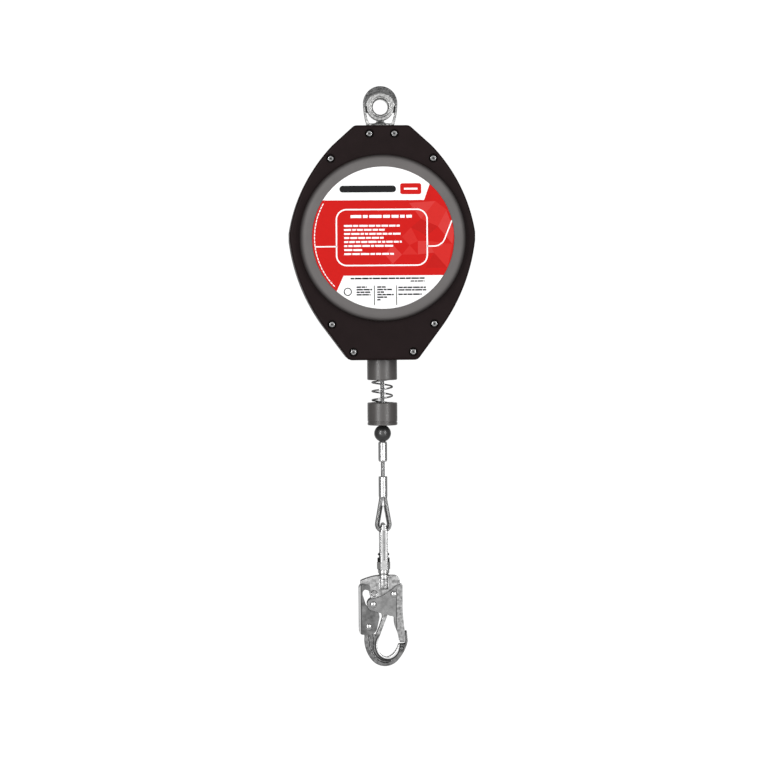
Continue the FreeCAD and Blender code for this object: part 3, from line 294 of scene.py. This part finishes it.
def eye_finish():
    """Forged eye: bright in the web and round the hole, with painted shade where the crown slopes away and
    in its corners.
    """
    n = Nodes("forged_eye")
    x, _, z = n.axes()
    # painted shade: the upper outer rim darkened where the crown slopes away from the light
    crown_shade = n.math("MULTIPLY", n.span(n.length(x, z), *EYE_RIM_SHADE), n.span(z, *EYE_CROWN_SHADE))
    bright = n.mottle(420.0, 5.0, CRISP, grey(0.24), (0.66, 0.66, 0.65))
    dark = n.mottle(500.0, 5.0, (0.35, 0.7), grey(0.045), grey(0.20))
    # the painted shade on the crown, then painted shade deep in corners
    n.set(Base_Color=n.painted_corner_shade(n.mix(crown_shade, bright, dark), 3 * MM, 0.4), Metallic=0.9, Roughness=0.38)
    n.bump(n.noise(900.0, 4.0), 0.12 * MM)
    return n.material


def stud_finish():
    """Swivel stud: near black head inside the bail, bright rings below it, painted shade in its corners."""
    n = Nodes("stud_steel")
    z = n.axes()[2]
    bright = n.mottle(260.0, 4.0, SOFT, grey(0.55), (0.82, 0.82, 0.81))
    tone = n.mix(n.span(z, *STUD_HEAD), bright, grey(0.03))
    # painted shade: the tone darkens deep in corners
    n.set(Base_Color=n.painted_corner_shade(tone, 2 * MM, 0.15), Metallic=1.0, Roughness=0.24)
    return n.material


def gate_finish():
    """Pressed gate: brushed grey cheeks, a patchy painted highlight down the outer edge, a dark line of
    painted shade beside it, and painted shade in its corners.
    """
    n = Nodes("gate_zinc")
    x, _, z = n.axes()
    cheek = n.mottle(140.0, 5.0, SOFT, grey(0.24), grey(0.40))
    # patchy tone of the painted highlight down the outer edge
    spine_highlight_tone = n.mottle(300.0, 5.0, CRISP, grey(0.22), grey(0.56))
    # painted highlight: the rounded outer edge made lighter
    spine_highlight = n.math("MULTIPLY", n.span(x, *GATE_SPINE_HIGHLIGHT), n.span(z, *GATE_SPINE_HIGHLIGHT_TOP))
    # painted shade: a dark line beside the outer edge
    crease_shade = n.math("MULTIPLY", n.line(x, GATE_CREASE_SHADE, CREASE_SHADE), n.span(z, *GATE_CREASE_SHADE_TOP))
    tone = n.mix(crease_shade, n.mix(spine_highlight, cheek, spine_highlight_tone), grey(0.07))
    fine = n.noise(600.0, 3.0, (1, 1, 6))
    # painted shade: the tone darkens deep in corners
    n.set(Base_Color=n.painted_corner_shade(tone, 3 * MM, 0.2), Metallic=1.0)
    n.set(Roughness=n.span(fine, *WIDE, 0.28, 0.46))
    n.bump(fine, 0.04 * MM)
    return n.material


def lever_finish():
    """Pressed lever: grey cheeks, a painted highlight down the rolled outer edge, a dark line of painted
    shade beside it, and painted shade in its corners.
    """
    n = Nodes("lever_zinc")
    x = n.axes()[0]
    cheek = n.mottle(160.0, 5.0, SOFT, grey(0.12), grey(0.30))
    # painted highlight: the rolled outer edge made lighter
    tone = n.mix(n.span(x, *LEVER_EDGE_HIGHLIGHT), cheek, grey(0.60))
    # painted shade: a dark line beside the rolled edge
    tone = n.mix(n.line(x, LEVER_CREASE_SHADE, CREASE_SHADE), tone, grey(0.06))
    # painted shade: the tone darkens deep in corners
    n.set(Base_Color=n.painted_corner_shade(tone, 3 * MM, 0.2), Metallic=1.0, Roughness=0.34, Specular_Tint=EDGE_TINT)
    n.bump(n.noise(600.0, 3.0), 0.04 * MM)
    return n.material


def hook_finish():
    """Forged hook: light mottled head, darker bowl with a painted highlight on its inner flange, a dark line
    of painted shade round it, and painted shade in its corners.
    """
    n = Nodes("hook_zinc")
    x, _, z = n.axes()
    across = n.math("MULTIPLY", n.math("SUBTRACT", x, BOWL_X), BOWL_STRETCH)
    radius = n.length(across, n.math("SUBTRACT", z, BOWL_Z))
    low = n.span(z, *BOWL_TOP)
    # painted highlight: the bowl's inner flange made near white
    flange_highlight = n.math("MULTIPLY", low, n.span(radius, *BOWL_FLANGE_HIGHLIGHT, 1.0, 0.0))
    # painted shade: a dark line round the flange
    line = n.math("MULTIPLY", low, n.line(radius, BOWL_LINE_SHADE, BOWL_LINE_SHADE_WIDTH))
    head = n.mottle(260.0, 5.0, CRISP, grey(0.24), grey(0.66))
    bowl = n.mottle(260.0, 5.0, CRISP, grey(0.13), grey(0.30))
    tone = n.mix(flange_highlight, n.mix(low, head, bowl), grey(0.92))
    tone = n.mix(line, tone, grey(0.04))
    fine = n.noise(500.0, 3.0)
    # painted shade: the tone darkens deep in corners
    n.set(Base_Color=n.painted_corner_shade(tone, 3 * MM, 0.12), Metallic=1.0, Specular_Tint=EDGE_TINT)
    n.set(Roughness=n.span(fine, *WIDE, 0.24, 0.38))
    n.bump(fine, 0.04 * MM)
    return n.material


def rope_finish():
    """Galvanised strand: fine wires show as dark and light lines, with painted shade deep in the hollows."""
    n = Nodes("rope_steel")
    wires = n.tree.nodes.new("ShaderNodeTexWave")
    wires.bands_direction = "DIAGONAL"
    wires.inputs["Scale"].default_value = 420.0
    wires.inputs["Distortion"].default_value = 1.5
    n.link(n.object_coords, wires.inputs["Vector"])
    tone = n.ramp(wires.outputs["Fac"], (0.2, 0.8), grey(0.16), grey(0.55))
    # painted shade: the strand darkens deep in the hollows
    n.set(Base_Color=n.painted_corner_shade(tone, 0.8 * MM, 0.3, (0.2, 0.8)))
    n.set(Metallic=1.0, Roughness=0.3, Specular_Tint=EDGE_TINT)
    n.bump(wires.outputs["Fac"], 0.05 * MM)
    return n.material


# ---------------------------------------------------------------- every finish
PLASTICS = {
    "housing_black": dict(
        dark=(0.0100, 0.0050, 0.0052), light=(0.0125, 0.0065, 0.0068),
        rough=0.50, gloss=0.10, grain=1500.0, depth=0.08 * MM,
    ),
    "sleeve_grey": dict(
        dark=(0.056, 0.051, 0.049), light=(0.068, 0.062, 0.060),
        rough=0.40, gloss=0.9, grain=900.0, depth=0.01 * MM,
    ),
    "ball_black": dict(
        dark=grey(0.016), light=grey(0.024),
        rough=0.30, gloss=0.9, grain=900.0, depth=0.03 * MM,
    ),
    "seal_rubber": dict(
        dark=grey(0.008), light=grey(0.012),
        rough=0.7, gloss=0.2, grain=900.0, depth=0.03 * MM,
    ),
    "lining_brown": dict(
        dark=(0.06, 0.035, 0.02), light=(0.10, 0.06, 0.035),
        rough=0.8, gloss=0.3, grain=900.0, depth=0.1 * MM,
    ),
    "guide_nylon": dict(
        dark=(0.62, 0.60, 0.55), light=(0.68, 0.66, 0.61),
        rough=0.45, gloss=0.4, grain=700.0, depth=0.02 * MM,
    ),
}
METALS = {
    "screw_zinc": dict(dark=grey(0.20), light=grey(0.50), rough=0.20, patch=400.0),
    "forged_zinc": dict(dark=grey(0.60), light=grey(0.85), rough=0.26, patch=120.0, depth=0.005 * MM),
    "pressed_zinc": dict(dark=grey(0.22), light=grey(0.36), rough=0.34, patch=120.0),
    "thimble_zinc": dict(dark=grey(0.10), light=grey(0.26), rough=0.26, patch=300.0),
    "rivet_bright": dict(dark=grey(0.50), light=grey(0.80), rough=0.12, patch=300.0),
    "ferrule_bright": dict(dark=grey(0.60), light=grey(0.80), rough=0.26, patch=120.0, depth=0.004 * MM),
    "frame_steel": dict(
        dark=grey(0.32), light=grey(0.50), rough=0.36, patch=70.0, depth=0.03 * MM, brushed=(1, 1, 14),
    ),
    "shaft_steel": dict(dark=grey(0.30), light=grey(0.45), rough=0.28),
    "spring_steel": dict(dark=grey(0.26), light=grey(0.55), rough=0.26, patch=260.0),
    "drum_alloy": dict(dark=grey(0.42), light=grey(0.60), rough=0.42, patch=80.0),
    "bush_bronze": dict(dark=(0.45, 0.26, 0.10), light=(0.62, 0.40, 0.18), rough=0.34),
    "insert_brass": dict(dark=(0.60, 0.42, 0.16), light=(0.80, 0.58, 0.26), rough=0.30),
}
INKS = {
    "label_red": (0.58, 0.008, 0.006),
    "label_white": (0.97, 0.97, 0.97),
    "label_black": (0.012, 0.012, 0.013),
    "facet_light": (0.64, 0.040, 0.036),
    "facet_mid": (0.62, 0.022, 0.018),
    "facet_deep": (0.51, 0.008, 0.006),
}

ink_finish = {name: flat_print(name, rgb) for name, rgb in INKS.items()}
slot_finish = {name: plastic(name, **look) for name, look in PLASTICS.items()}
slot_finish.update({name: metal(name, **look) for name, look in METALS.items()})
slot_finish["label_print"] = ink_finish["label_red"]
slot_finish["disc_grey"] = disc_finish()
slot_finish["rope_steel"] = rope_finish()
slot_finish["hook_zinc"] = hook_finish()
own_finish = {
    "anchor_eye": eye_finish(),
    "swivel_stud": stud_finish(),
    "gate": gate_finish(),
    "lock_lever": lever_finish(),
    "thimble": slot_finish["thimble_zinc"],
}


# ---------------------------------------------------------------- CAD pieces
FORGED_GRAIN = {"hook_body": 0.5 * MM, "anchor_eye": 0.55 * MM}  # voxel size of the new skin
FORGED_PASSES = 5  # of smoothing
SOFT_EDGE = {  # radius of the rounded edges
    "swivel_bail": 0.4 * MM,
    "gate": 0.5 * MM,
    "lock_lever": 0.5 * MM,
    "outlet_sleeve": 0.5 * MM,
    "buffer_sleeve": 0.5 * MM,
}
SOFT_SEGMENTS = 3
FLAT_ANGLE = math.radians(0.5)  # faces that meet at less are one flat face
SHARP_ANGLE = math.radians(40)  # edges that turn by more are rounded


def paint_cad():
    """Every CAD node takes its slot's finish, unless it has one of its own."""
    for entry in frame["record"]["subparts"]:
        node = frame["nodes"][entry["node"]]
        finish = own_finish.get(entry["node"], slot_finish[entry["material_slot"]])
        node.data.materials.clear()
        node.data.materials.append(finish)


def soften(name, radius):
    """Rounds a CAD node's sharp edges, after its flat faces are made whole again."""
    node = frame["nodes"][name]
    whole = node.modifiers.new("whole_faces", "DECIMATE")
    whole.decimate_type = "DISSOLVE"
    whole.angle_limit = FLAT_ANGLE
    bevel = node.modifiers.new("soft_edges", "BEVEL")
    bevel.width = radius
    bevel.segments = SOFT_SEGMENTS
    bevel.limit_method = "ANGLE"
    bevel.angle_limit = SHARP_ANGLE
    bevel.harden_normals = False
    node.modifiers.new("even_normals", "WEIGHTED_NORMAL")


def forge(name, grain):
    """Gives a CAD node the rounded edges of a forging."""
    node = frame["nodes"][name]
    remesh = node.modifiers.new("forged_skin", "REMESH")
    remesh.mode = "VOXEL"
    remesh.voxel_size = grain
    remesh.use_smooth_shade = True
    smooth = node.modifiers.new("forged_edges", "SMOOTH")
    smooth.factor = 0.5
    smooth.iterations = FORGED_PASSES


paint_cad()
for forged_name, voxel in FORGED_GRAIN.items():
    forge(forged_name, voxel)
for soft_name, edge_radius in SOFT_EDGE.items():
    soften(soft_name, edge_radius)


# ---------------------------------------------------------------- mesh helpers
def new_mesh(name, verts, faces, material, smooth=True):
    """A new object with one material, in the scene's collection."""
    mesh = bpy.data.meshes.new(name)
    mesh.from_pydata([tuple(v) for v in verts], [], faces)
    mesh.materials.append(material)
    mesh.polygons.foreach_set("use_smooth", [smooth] * len(mesh.polygons))
    mesh.update()
    obj = bpy.data.objects.new(name, mesh)
    bpy.context.scene.collection.objects.link(obj)
    return obj


def tube_along(points, radius, sides):
    """Vertices and faces of a capped tube through points, with a frame that doesn't twist."""
    points = [Vector(p) for p in points]
    verts, faces = [], []
    side = None
    for i, p in enumerate(points):
        ahead = points[min(i + 1, len(points) - 1)]
        behind = points[max(i - 1, 0)]
        along = (ahead - behind).normalized()
        if side is None:
            side = along.orthogonal().normalized()
        side = (side - along * side.dot(along)).normalized()
        other = along.cross(side)
        for k in range(sides):
            angle = 2 * math.pi * k / sides
            verts.append(p + side * (radius * math.cos(angle)) + other * (radius * math.sin(angle)))
    for i in range(len(points) - 1):
        for k in range(sides):
            a = i * sides + k
            b = i * sides + (k + 1) % sides
            faces.append((a, b, b + sides, a + sides))
    last = (len(points) - 1) * sides
    faces.append(tuple(reversed(range(sides))))
    faces.append(tuple(range(last, last + sides)))
    return verts, faces


def merged(parts):
    """Vertices and faces of several meshes as one."""
    verts, faces = [], []
    for v, f in parts:
        start = len(verts)
        verts += v
        faces += [tuple(start + i for i in face) for face in f]
    return verts, faces


def arc(cu, cw, r, start, end, count):
    """Points (u, w) along an arc, from one angle to another in radians, from +u towards +w."""
    angles = [start + (end - start) * i / count for i in range(count + 1)]
    return [(cu + r * math.cos(a), cw + r * math.sin(a)) for a in angles]


# ---------------------------------------------------------------- rope
def resampled(points, step):
    """Points along a polyline at equal steps of arc length."""
    pts = np.array(points, float)
    seg = np.linalg.norm(np.diff(pts, axis=0), axis=1)
    at = np.concatenate([[0.0], np.cumsum(seg)])
    count = max(2, int(round(at[-1] / step)) + 1)
    s = np.linspace(0.0, at[-1], count)
    return np.stack([np.interp(s, at, pts[:, i]) for i in range(3)], axis=1)


def upright_arc(*measures):
    """An arc in the plane y = 0."""
    return [(x, 0.0, z) for x, z in arc(*measures)]


def rope_path():
    """Centre line from the housing down to the ferrule, round the thimble and back up."""
    jog_steps, bend_steps, loop_steps = 8, 6, 40
    down = SPREAD_Z - THIMBLE_Z
    lean = math.asin(LOOP_R / math.hypot(LEG_X, down)) - math.atan2(LEG_X, down)
    bend_top = SPREAD_Z + SPREAD_BEND_R * math.tan(lean / 2)
    bend_x = LEG_X + SPREAD_BEND_R
    pts = [(0.0, 0.0, ROPE_SPLIT), (0.0, 0.0, ROPE_JOG[0])]
    for i in range(1, jog_steps + 1):  # an easy S inside the ferrule
        t = i / jog_steps
        shift = LEG_X * t * t * (3 - 2 * t)
        pts.append((shift, 0.0, ROPE_JOG[0] + (ROPE_JOG[1] - ROPE_JOG[0]) * t))
    pts.append((LEG_X, 0.0, SPREAD_Z + 4 * MM))
    pts += upright_arc(bend_x, bend_top, SPREAD_BEND_R, math.pi, math.pi + lean, bend_steps)
    pts += upright_arc(0.0, THIMBLE_Z, LOOP_R, lean, -math.pi - lean, loop_steps)
    pts += upright_arc(-bend_x, bend_top, SPREAD_BEND_R, -lean, 0.0, bend_steps)
    pts.append((-LEG_X, 0.0, LEG_END))
    return pts


def stranded(points, turned):
    """Strands laid round the path and a core inside them; turned is the first strand's first angle."""
    core_sides, strand_sides = 8, 10
    centre = resampled(points, STEP)
    parts = [tube_along(centre, CORE_R, core_sides)]
    normal = Vector((0, 1, 0))
    lines = [[] for _ in range(STRANDS)]
    for i, p in enumerate(centre):
        along = Vector(centre[min(i + 1, len(centre) - 1)] - centre[max(i - 1, 0)]).normalized()
        other = along.cross(normal)
        for k in range(STRANDS):
            a = turned + 2 * math.pi * (k / STRANDS + i * STEP / LAY)
            offset = normal * (HELIX_R * math.cos(a)) + other * (HELIX_R * math.sin(a))
            lines[k].append(Vector(p) + offset)
    parts += [tube_along(line, STRAND_R, strand_sides) for line in lines]
    return merged(parts)


def build_rope():
    """The stretch in the cable guide, and the hanging rope with its eye as the cord."""
    steel = slot_finish["rope_steel"]
    hidden_turn = 2 * math.pi * (ROPE_TOP - ROPE_SPLIT) / LAY
    hidden = stranded([(0, 0, ROPE_TOP), (0, 0, ROPE_SPLIT)], -hidden_turn)
    upper_rope = new_mesh("rope_in_guide", *hidden, steel)
    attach(upper_rope, "lifeline")

    free_path = resampled(rope_path(), STEP)
    rope = new_mesh("lifeline_rope", *stranded(free_path, 0.0), steel)
    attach(rope, "lifeline")
    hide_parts("lifeline_cable", "rope_eye")


build_rope()


# ---------------------------------------------------------------- buffer spring
def spring_points():
    """Centre line of the spring: a helix of even pitch."""
    pts = []
    count = SPRING_STEPS * SPRING_TURNS
    for i in range(count + 1):
        t = i / count
        a = 2 * math.pi * SPRING_TURNS * t
        z = SPRING_LOW + (SPRING_HIGH - SPRING_LOW) * t
        pts.append((SPRING_R * math.cos(a), SPRING_R * math.sin(a), z))
    return pts


def build_spring():
    """The buffer's coil, in place of the CAD spring."""
    wire_sides = 12
    coil = tube_along(spring_points(), SPRING_WIRE_R, wire_sides)
    spring = new_mesh("buffer_coil", *coil, slot_finish["spring_steel"])
    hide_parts("buffer_spring")
    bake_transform(spring)


build_spring()


# ---------------------------------------------------------------- shapes of print
def clipped(polygon, radius=LABEL_R, sides=180):
    """The part of a polygon of (u, w) points that lies inside the label's circle."""
    out = list(polygon)
    for k in range(sides):
        a = 2 * math.pi * (k + 0.5) / sides
        nu, nw = math.cos(a), math.sin(a)
        limit = radius * math.cos(math.pi / sides)
        kept = []
        for i, p in enumerate(out):
            q = out[(i + 1) % len(out)]
            dp = p[0] * nu + p[1] * nw - limit
            dq = q[0] * nu + q[1] * nw - limit
            if dp <= 0:
                kept.append(p)
            if (dp < 0 < dq) or (dq < 0 < dp):
                t = dp / (dp - dq)
                kept.append((p[0] + t * (q[0] - p[0]), p[1] + t * (q[1] - p[1])))
        out = kept
    return out


def rectangle(u0, u1, w0, w1):
    return [(u0, w0), (u1, w0), (u1, w1), (u0, w1)]


def rounded(u0, u1, w0, w1, r):
    """Rounded rectangle as (u, w) points, anticlockwise."""
    pts = []
    corners = ((u1 - r, w1 - r), (u0 + r, w1 - r), (u0 + r, w0 + r), (u1 - r, w0 + r))
    for quarter, (cu, cw) in enumerate(corners):
        start = quarter * math.pi / 2
        pts += arc(cu, cw, r, start, start + math.pi / 2, 8)
    return pts


def ribbon(points, width, closed=False):
    """Quads that draw a line of some width through (u, w) points."""
    quads = []
    n = len(points)
    count = n if closed else n - 1
    normals = []
    for i in range(n):
        p = points[(i - 1) % n] if closed or i > 0 else points[i]
        q = points[(i + 1) % n] if closed or i < n - 1 else points[i]
        du, dw = q[0] - p[0], q[1] - p[1]
        length = math.hypot(du, dw)
        normals.append((-dw / length * width / 2, du / length * width / 2))
    for i in range(count):
        j = (i + 1) % n
        (a, b), (c, d) = points[i], points[j]
        (na, nb), (nc, nd) = normals[i], normals[j]
        quads.append([(a - na, b - nb), (c - nc, d - nd), (c + nc, d + nd), (a + na, b + nb)])
    return quads


def words(u0, u1, w, height, seed, gap=0.54):
    """A line of print, too small to read, as bars of uneven length; gap is in heights."""
    factor, offset, steps = 37, 11, 101  # a small repeatable sequence for the lengths
    shortest, spread = 1.6, 3.2  # in heights
    least_room = 1.0
    bars = []
    u = u0
    step = seed
    while u < u1 - least_room:
        step = (step * factor + offset) % steps
        length = height * (shortest + spread * step / steps)
        end = min(u + length, u1)
        bars.append(rectangle(u, end, w - height / 2, w + height / 2))
        u = end + height * gap
    return bars


# ---------------------------------------------------------------- label
TIGHT = 0.36  # gap of the small print


def printed(ink, layer, polygons):
    """Polygons in one ink, on one layer."""
    return [(ink, layer, polygon) for polygon in polygons]


def white_fields():
    """White above, with its slanting end, and white below."""
    upper = [(-90, 44.4), (48.7, 44.4), (57.8, 70), (66, 92), (-90, 92)]
    lower = [(-47.2, -44.6), (90, -44.6), (90, -90), (-68, -90)]
    return printed("label_white", 1, [upper, lower])


def red_facets():
    """Lighter and deeper facets on the red field."""
    facets = (
        ("facet_light", [(31, 41), (62, 43), (45, 22)]),
        ("facet_mid", [(62, 43), (84, 26), (75, 32), (45, 22)]),
        ("facet_mid", [(45, 22), (75, 32), (65, 13)]),
        ("facet_light", [(65, 13), (75, 32), (84, 8), (82, -8)]),
        ("facet_deep", [(45, 22), (65, 13), (52, 2), (33, 12)]),
        ("facet_mid", [(22, 1), (33, 12), (41, -4), (31, -9)]),
        ("facet_light", [(11, -8), (22, -20), (11, -31), (2, -20)]),
        ("facet_mid", [(31, -9), (41, -20), (22, -20)]),
        ("facet_light", [(41, -4), (53, -4), (60, -18), (41, -20)]),
        ("facet_mid", [(53, -4), (82, -8), (76, -36), (60, -18)]),
        ("facet_deep", [(60, -18), (76, -36), (50, -36)]),
    )
    return [(ink, 1, shape) for ink, shape in facets]


def outlines():
    """The rounded box, the line that leaves it on each side and the dashed curve at the left."""
    tail_w = -10.2
    turn_u, turn_r = 60.0, 14.0
    turn = arc(turn_u, tail_w + turn_r, turn_r, math.radians(-90), math.radians(-25), 8)
    right_tail = [(52.1, tail_w), (turn_u, tail_w)] + turn + [(81.5, 20.0)]
    art = printed("label_white", 2, ribbon(rounded(-55.3, 52.1, -32.6, 33.4, 12.0), 1.7, True))
    art += printed("label_white", 2, ribbon([(-80.5, tail_w), (-55.3, tail_w)], 1.5))
    art += printed("label_white", 2, ribbon(right_tail, 1.5))
    dashes, first, pitch, dash = 26, 150, 2.9, 2.3  # angles in degrees
    for i in range(dashes):
        start = math.radians(first + pitch * i)
        curve = arc(0, 0, 81.3, start, start + math.radians(dash), 3)
        art += printed("label_white", 2, ribbon(curve, 1.1))
    return art


def box_print():
    """A heading and eight lines inside the box."""
    art = printed("label_white", 2, words(-38.5, 36.5, 25.2, 3.4, 7))
    line_ends = (19.7, 1.7, 21.6, 0.5, 22.0, 12.0, -24.6, 12.5)
    for i, end in enumerate(line_ends):
        w = 14.2 - 4.75 * i
        art += printed("label_white", 2, words(-46.3, end, w, 2.2, 13 + 5 * i))
    return art


def top_marks():
    """A plain bar and a plain badge in the upper white field."""
    bar = rounded(-51.4, 15.5, 53.6, 61.6, 4.0)
    badge = rounded(20.5, 45.4, 51.2, 64.2, 2.5)
    window = rectangle(25, 41, 56.6, 58.8)
    return [("label_black", 2, bar), ("label_red", 2, badge), ("label_white", 3, window)]


def small_print():
    """Small lines, columns, dividers and a plain ring in the lower white field."""
    shapes = words(-39, 48.6, -48.0, 1.9, 3, TIGHT) + words(32, 48.6, -51.4, 1.5, 9, TIGHT)
    for u in (-11.0, 15.4):
        shapes.append(rectangle(u - 0.5, u + 0.5, -79.6, -56.4))
    columns = (  # left end, right ends of its lines, height of the first line, seed
        (-32.0, (-20.0, -13.6, -14.5, -15.5), -58.2, 20),
        (-7.6, (2.5, 11.0, 0.5, 12.0, 4.0, -2.5), -58.2, 17),
        (17.4, (50.2, 50.6), -58.8, 20),
        (17.4, (45.0,), -67.0, 20),
    )
    for u0, line_ends, first, seed in columns:
        for i, end in enumerate(line_ends):
            shapes += words(u0, end, first - 3.0 * i, 1.8, seed + i, TIGHT)
    ring = arc(-42.4, -63.6, 4.3, 0, math.radians(337.5), 15)
    shapes += ribbon(ring, 1.2, True)
    return printed("label_black", 2, shapes)


def build_label():
    """All the printed shapes as one mesh just in front of the label."""
    inks = list(INKS)
    art = white_fields() + red_facets() + outlines() + box_print() + top_marks() + small_print()
    verts, faces, slots = [], [], []
    for ink, layer, polygon in art:
        shape = clipped(polygon)
        if len(shape) < 3:
            continue
        y = (LABEL_Y - INK * layer) * MM
        start = len(verts)
        verts += [(u * MM, y, DRUM_Z + w * MM) for u, w in shape]
        faces.append(tuple(range(start, start + len(shape))))
        slots.append(inks.index(ink))
    obj = new_mesh("label_artwork", verts, faces, ink_finish[inks[0]], smooth=False)
    for ink in inks[1:]:
        obj.data.materials.append(ink_finish[ink])
    obj.data.polygons.foreach_set("material_index", slots)
    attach(obj, "housing")


build_label()


# ---------------------------------------------------------------- stage
FLOOR_Z = -1.25
FLOOR_R = 14
FLOOR_SIDES = 64
FLOOR_BLEND = (0.8, 2.2)  # distances between which the near floor turns into the far one
# the floor's glow under the object: painted light
FLOOR_NEAR_LEVEL = 0.4
BACK_LEVEL = 1.04
SIDE_LEVEL = 0.25
FRONT_LEVEL = 0.86
BACK_TURN = (0.62, 0.95)  # the y of a direction, where the side turns into the back
FRONT_TURN = (-0.6, -0.92)  # and where it turns into the front

LIGHT_AIM = Vector((0, 0, -0.3))

CAMERA_AIM = Vector((-3.2 * MM, 0.0, -326.2 * MM))
CAMERA_AWAY = 3.2
CAMERA_AZIMUTH = math.radians(-3.0)
CAMERA_HEIGHT = math.radians(2.0)
CAMERA_ROLL = math.radians(-0.44)
CAMERA_SENSOR = 36.0
CAMERA_LENS = 126.25


def studio_level(tree, y):
    """Brightness of the studio toward a direction: white behind, dim at the sides, pale in front."""

    def lobe(turn, height):
        node = tree.nodes.new("ShaderNodeMapRange")
        node.interpolation_type = "SMOOTHSTEP"
        node.inputs["From Min"].default_value = turn[0]
        node.inputs["From Max"].default_value = turn[1]
        node.inputs["To Max"].default_value = height
        tree.links.new(y, node.inputs["Value"])
        return node.outputs["Result"]

    lobes = tree.nodes.new("ShaderNodeMath")
    tree.links.new(lobe(BACK_TURN, BACK_LEVEL - SIDE_LEVEL), lobes.inputs[0])
    tree.links.new(lobe(FRONT_TURN, FRONT_LEVEL - SIDE_LEVEL), lobes.inputs[1])
    level = tree.nodes.new("ShaderNodeMath")
    tree.links.new(lobes.outputs["Value"], level.inputs[0])
    level.inputs[1].default_value = SIDE_LEVEL
    return level.outputs["Value"]


def floor_finish():
    """Floor whose paleness is painted light: it glows at a level of its own under the object, and meets the
    studio's brightness at the horizon all the way round.
    """
    n = Nodes("glowing_floor")
    x, y, _ = n.axes()
    radius = n.length(x, y)
    far = studio_level(n.tree, n.math("DIVIDE", y, radius))
    blend = n.span(radius, *FLOOR_BLEND)
    near_part = n.math("MULTIPLY", n.math("SUBTRACT", 1.0, blend), FLOOR_NEAR_LEVEL)
    glow = n.math("ADD", n.math("MULTIPLY", far, blend), near_part)
    n.set(Base_Color=grey(0.06), Roughness=0.9, Specular_IOR_Level=0.0)
    # painted light: the floor's glow, not lamplight, makes it pale
    n.set(Emission_Color=grey(1.0), Emission_Strength=glow)
    return n.material


def floor():
    """A plain round floor below the object."""
    ring = []
    for i in range(FLOOR_SIDES):
        a = 2 * math.pi * i / FLOOR_SIDES
        ring.append((FLOOR_R * math.cos(a), FLOOR_R * math.sin(a), FLOOR_Z))
    obj = new_mesh("studio_floor", ring, [tuple(range(FLOOR_SIDES))], floor_finish(), smooth=False)


def sky():
    """The studio round the object, as the world's light."""
    world = bpy.data.worlds.new("studio")
    bpy.context.scene.world = world
    world.use_nodes = True
    tree = world.node_tree
    coords = tree.nodes.new("ShaderNodeTexCoord")
    axes = tree.nodes.new("ShaderNodeSeparateXYZ")
    tree.links.new(coords.outputs["Generated"], axes.inputs["Vector"])
    background = tree.nodes["Background"]
    tree.links.new(studio_level(tree, axes.outputs["Y"]), background.inputs["Strength"])
    background.inputs["Color"].default_value = (1, 1, 1, 1)


def soft_light(name, location, width, height, power):
    """A rectangular lamp that faces the object."""
    light = bpy.data.lights.new(name, "AREA")
    light.shape = "RECTANGLE"
    light.size = width
    light.size_y = height
    light.energy = power
    obj = bpy.data.objects.new(name, light)
    bpy.context.scene.collection.objects.link(obj)
    obj.location = location
    obj.rotation_euler = (LIGHT_AIM - Vector(location)).to_track_quat("-Z", "Y").to_euler()


def camera():
    """Slightly left of the front and slightly above, far enough off for nearly parallel lines."""
    data = bpy.data.cameras.new("camera")
    data.sensor_width = CAMERA_SENSOR
    data.lens = CAMERA_LENS
    obj = bpy.data.objects.new("camera", data)
    bpy.context.scene.collection.objects.link(obj)
    flat = CAMERA_AWAY * math.cos(CAMERA_HEIGHT)
    x, y = flat * math.sin(CAMERA_AZIMUTH), -flat * math.cos(CAMERA_AZIMUTH)
    obj.location = CAMERA_AIM + Vector((x, y, CAMERA_AWAY * math.sin(CAMERA_HEIGHT)))
    facing = (CAMERA_AIM - obj.location).to_track_quat("-Z", "Y")
    obj.rotation_mode = "QUATERNION"
    obj.rotation_quaternion = facing @ Quaternion(Vector((0, 0, 1)), CAMERA_ROLL)
    bpy.context.scene.camera = obj


floor()
sky()
soft_light("key_light", (-1.75, -2.45, 0.3), width=0.45, height=2.4, power=46.0)
soft_light("fill_light", (1.75, -2.45, 0.3), width=0.45, height=2.4, power=34.0)
soft_light("rim_light", (0.6, 2.2, 1.4), width=1.0, height=1.0, power=14.0)
camera()
bpy.context.scene.view_settings.view_transform = "Standard"
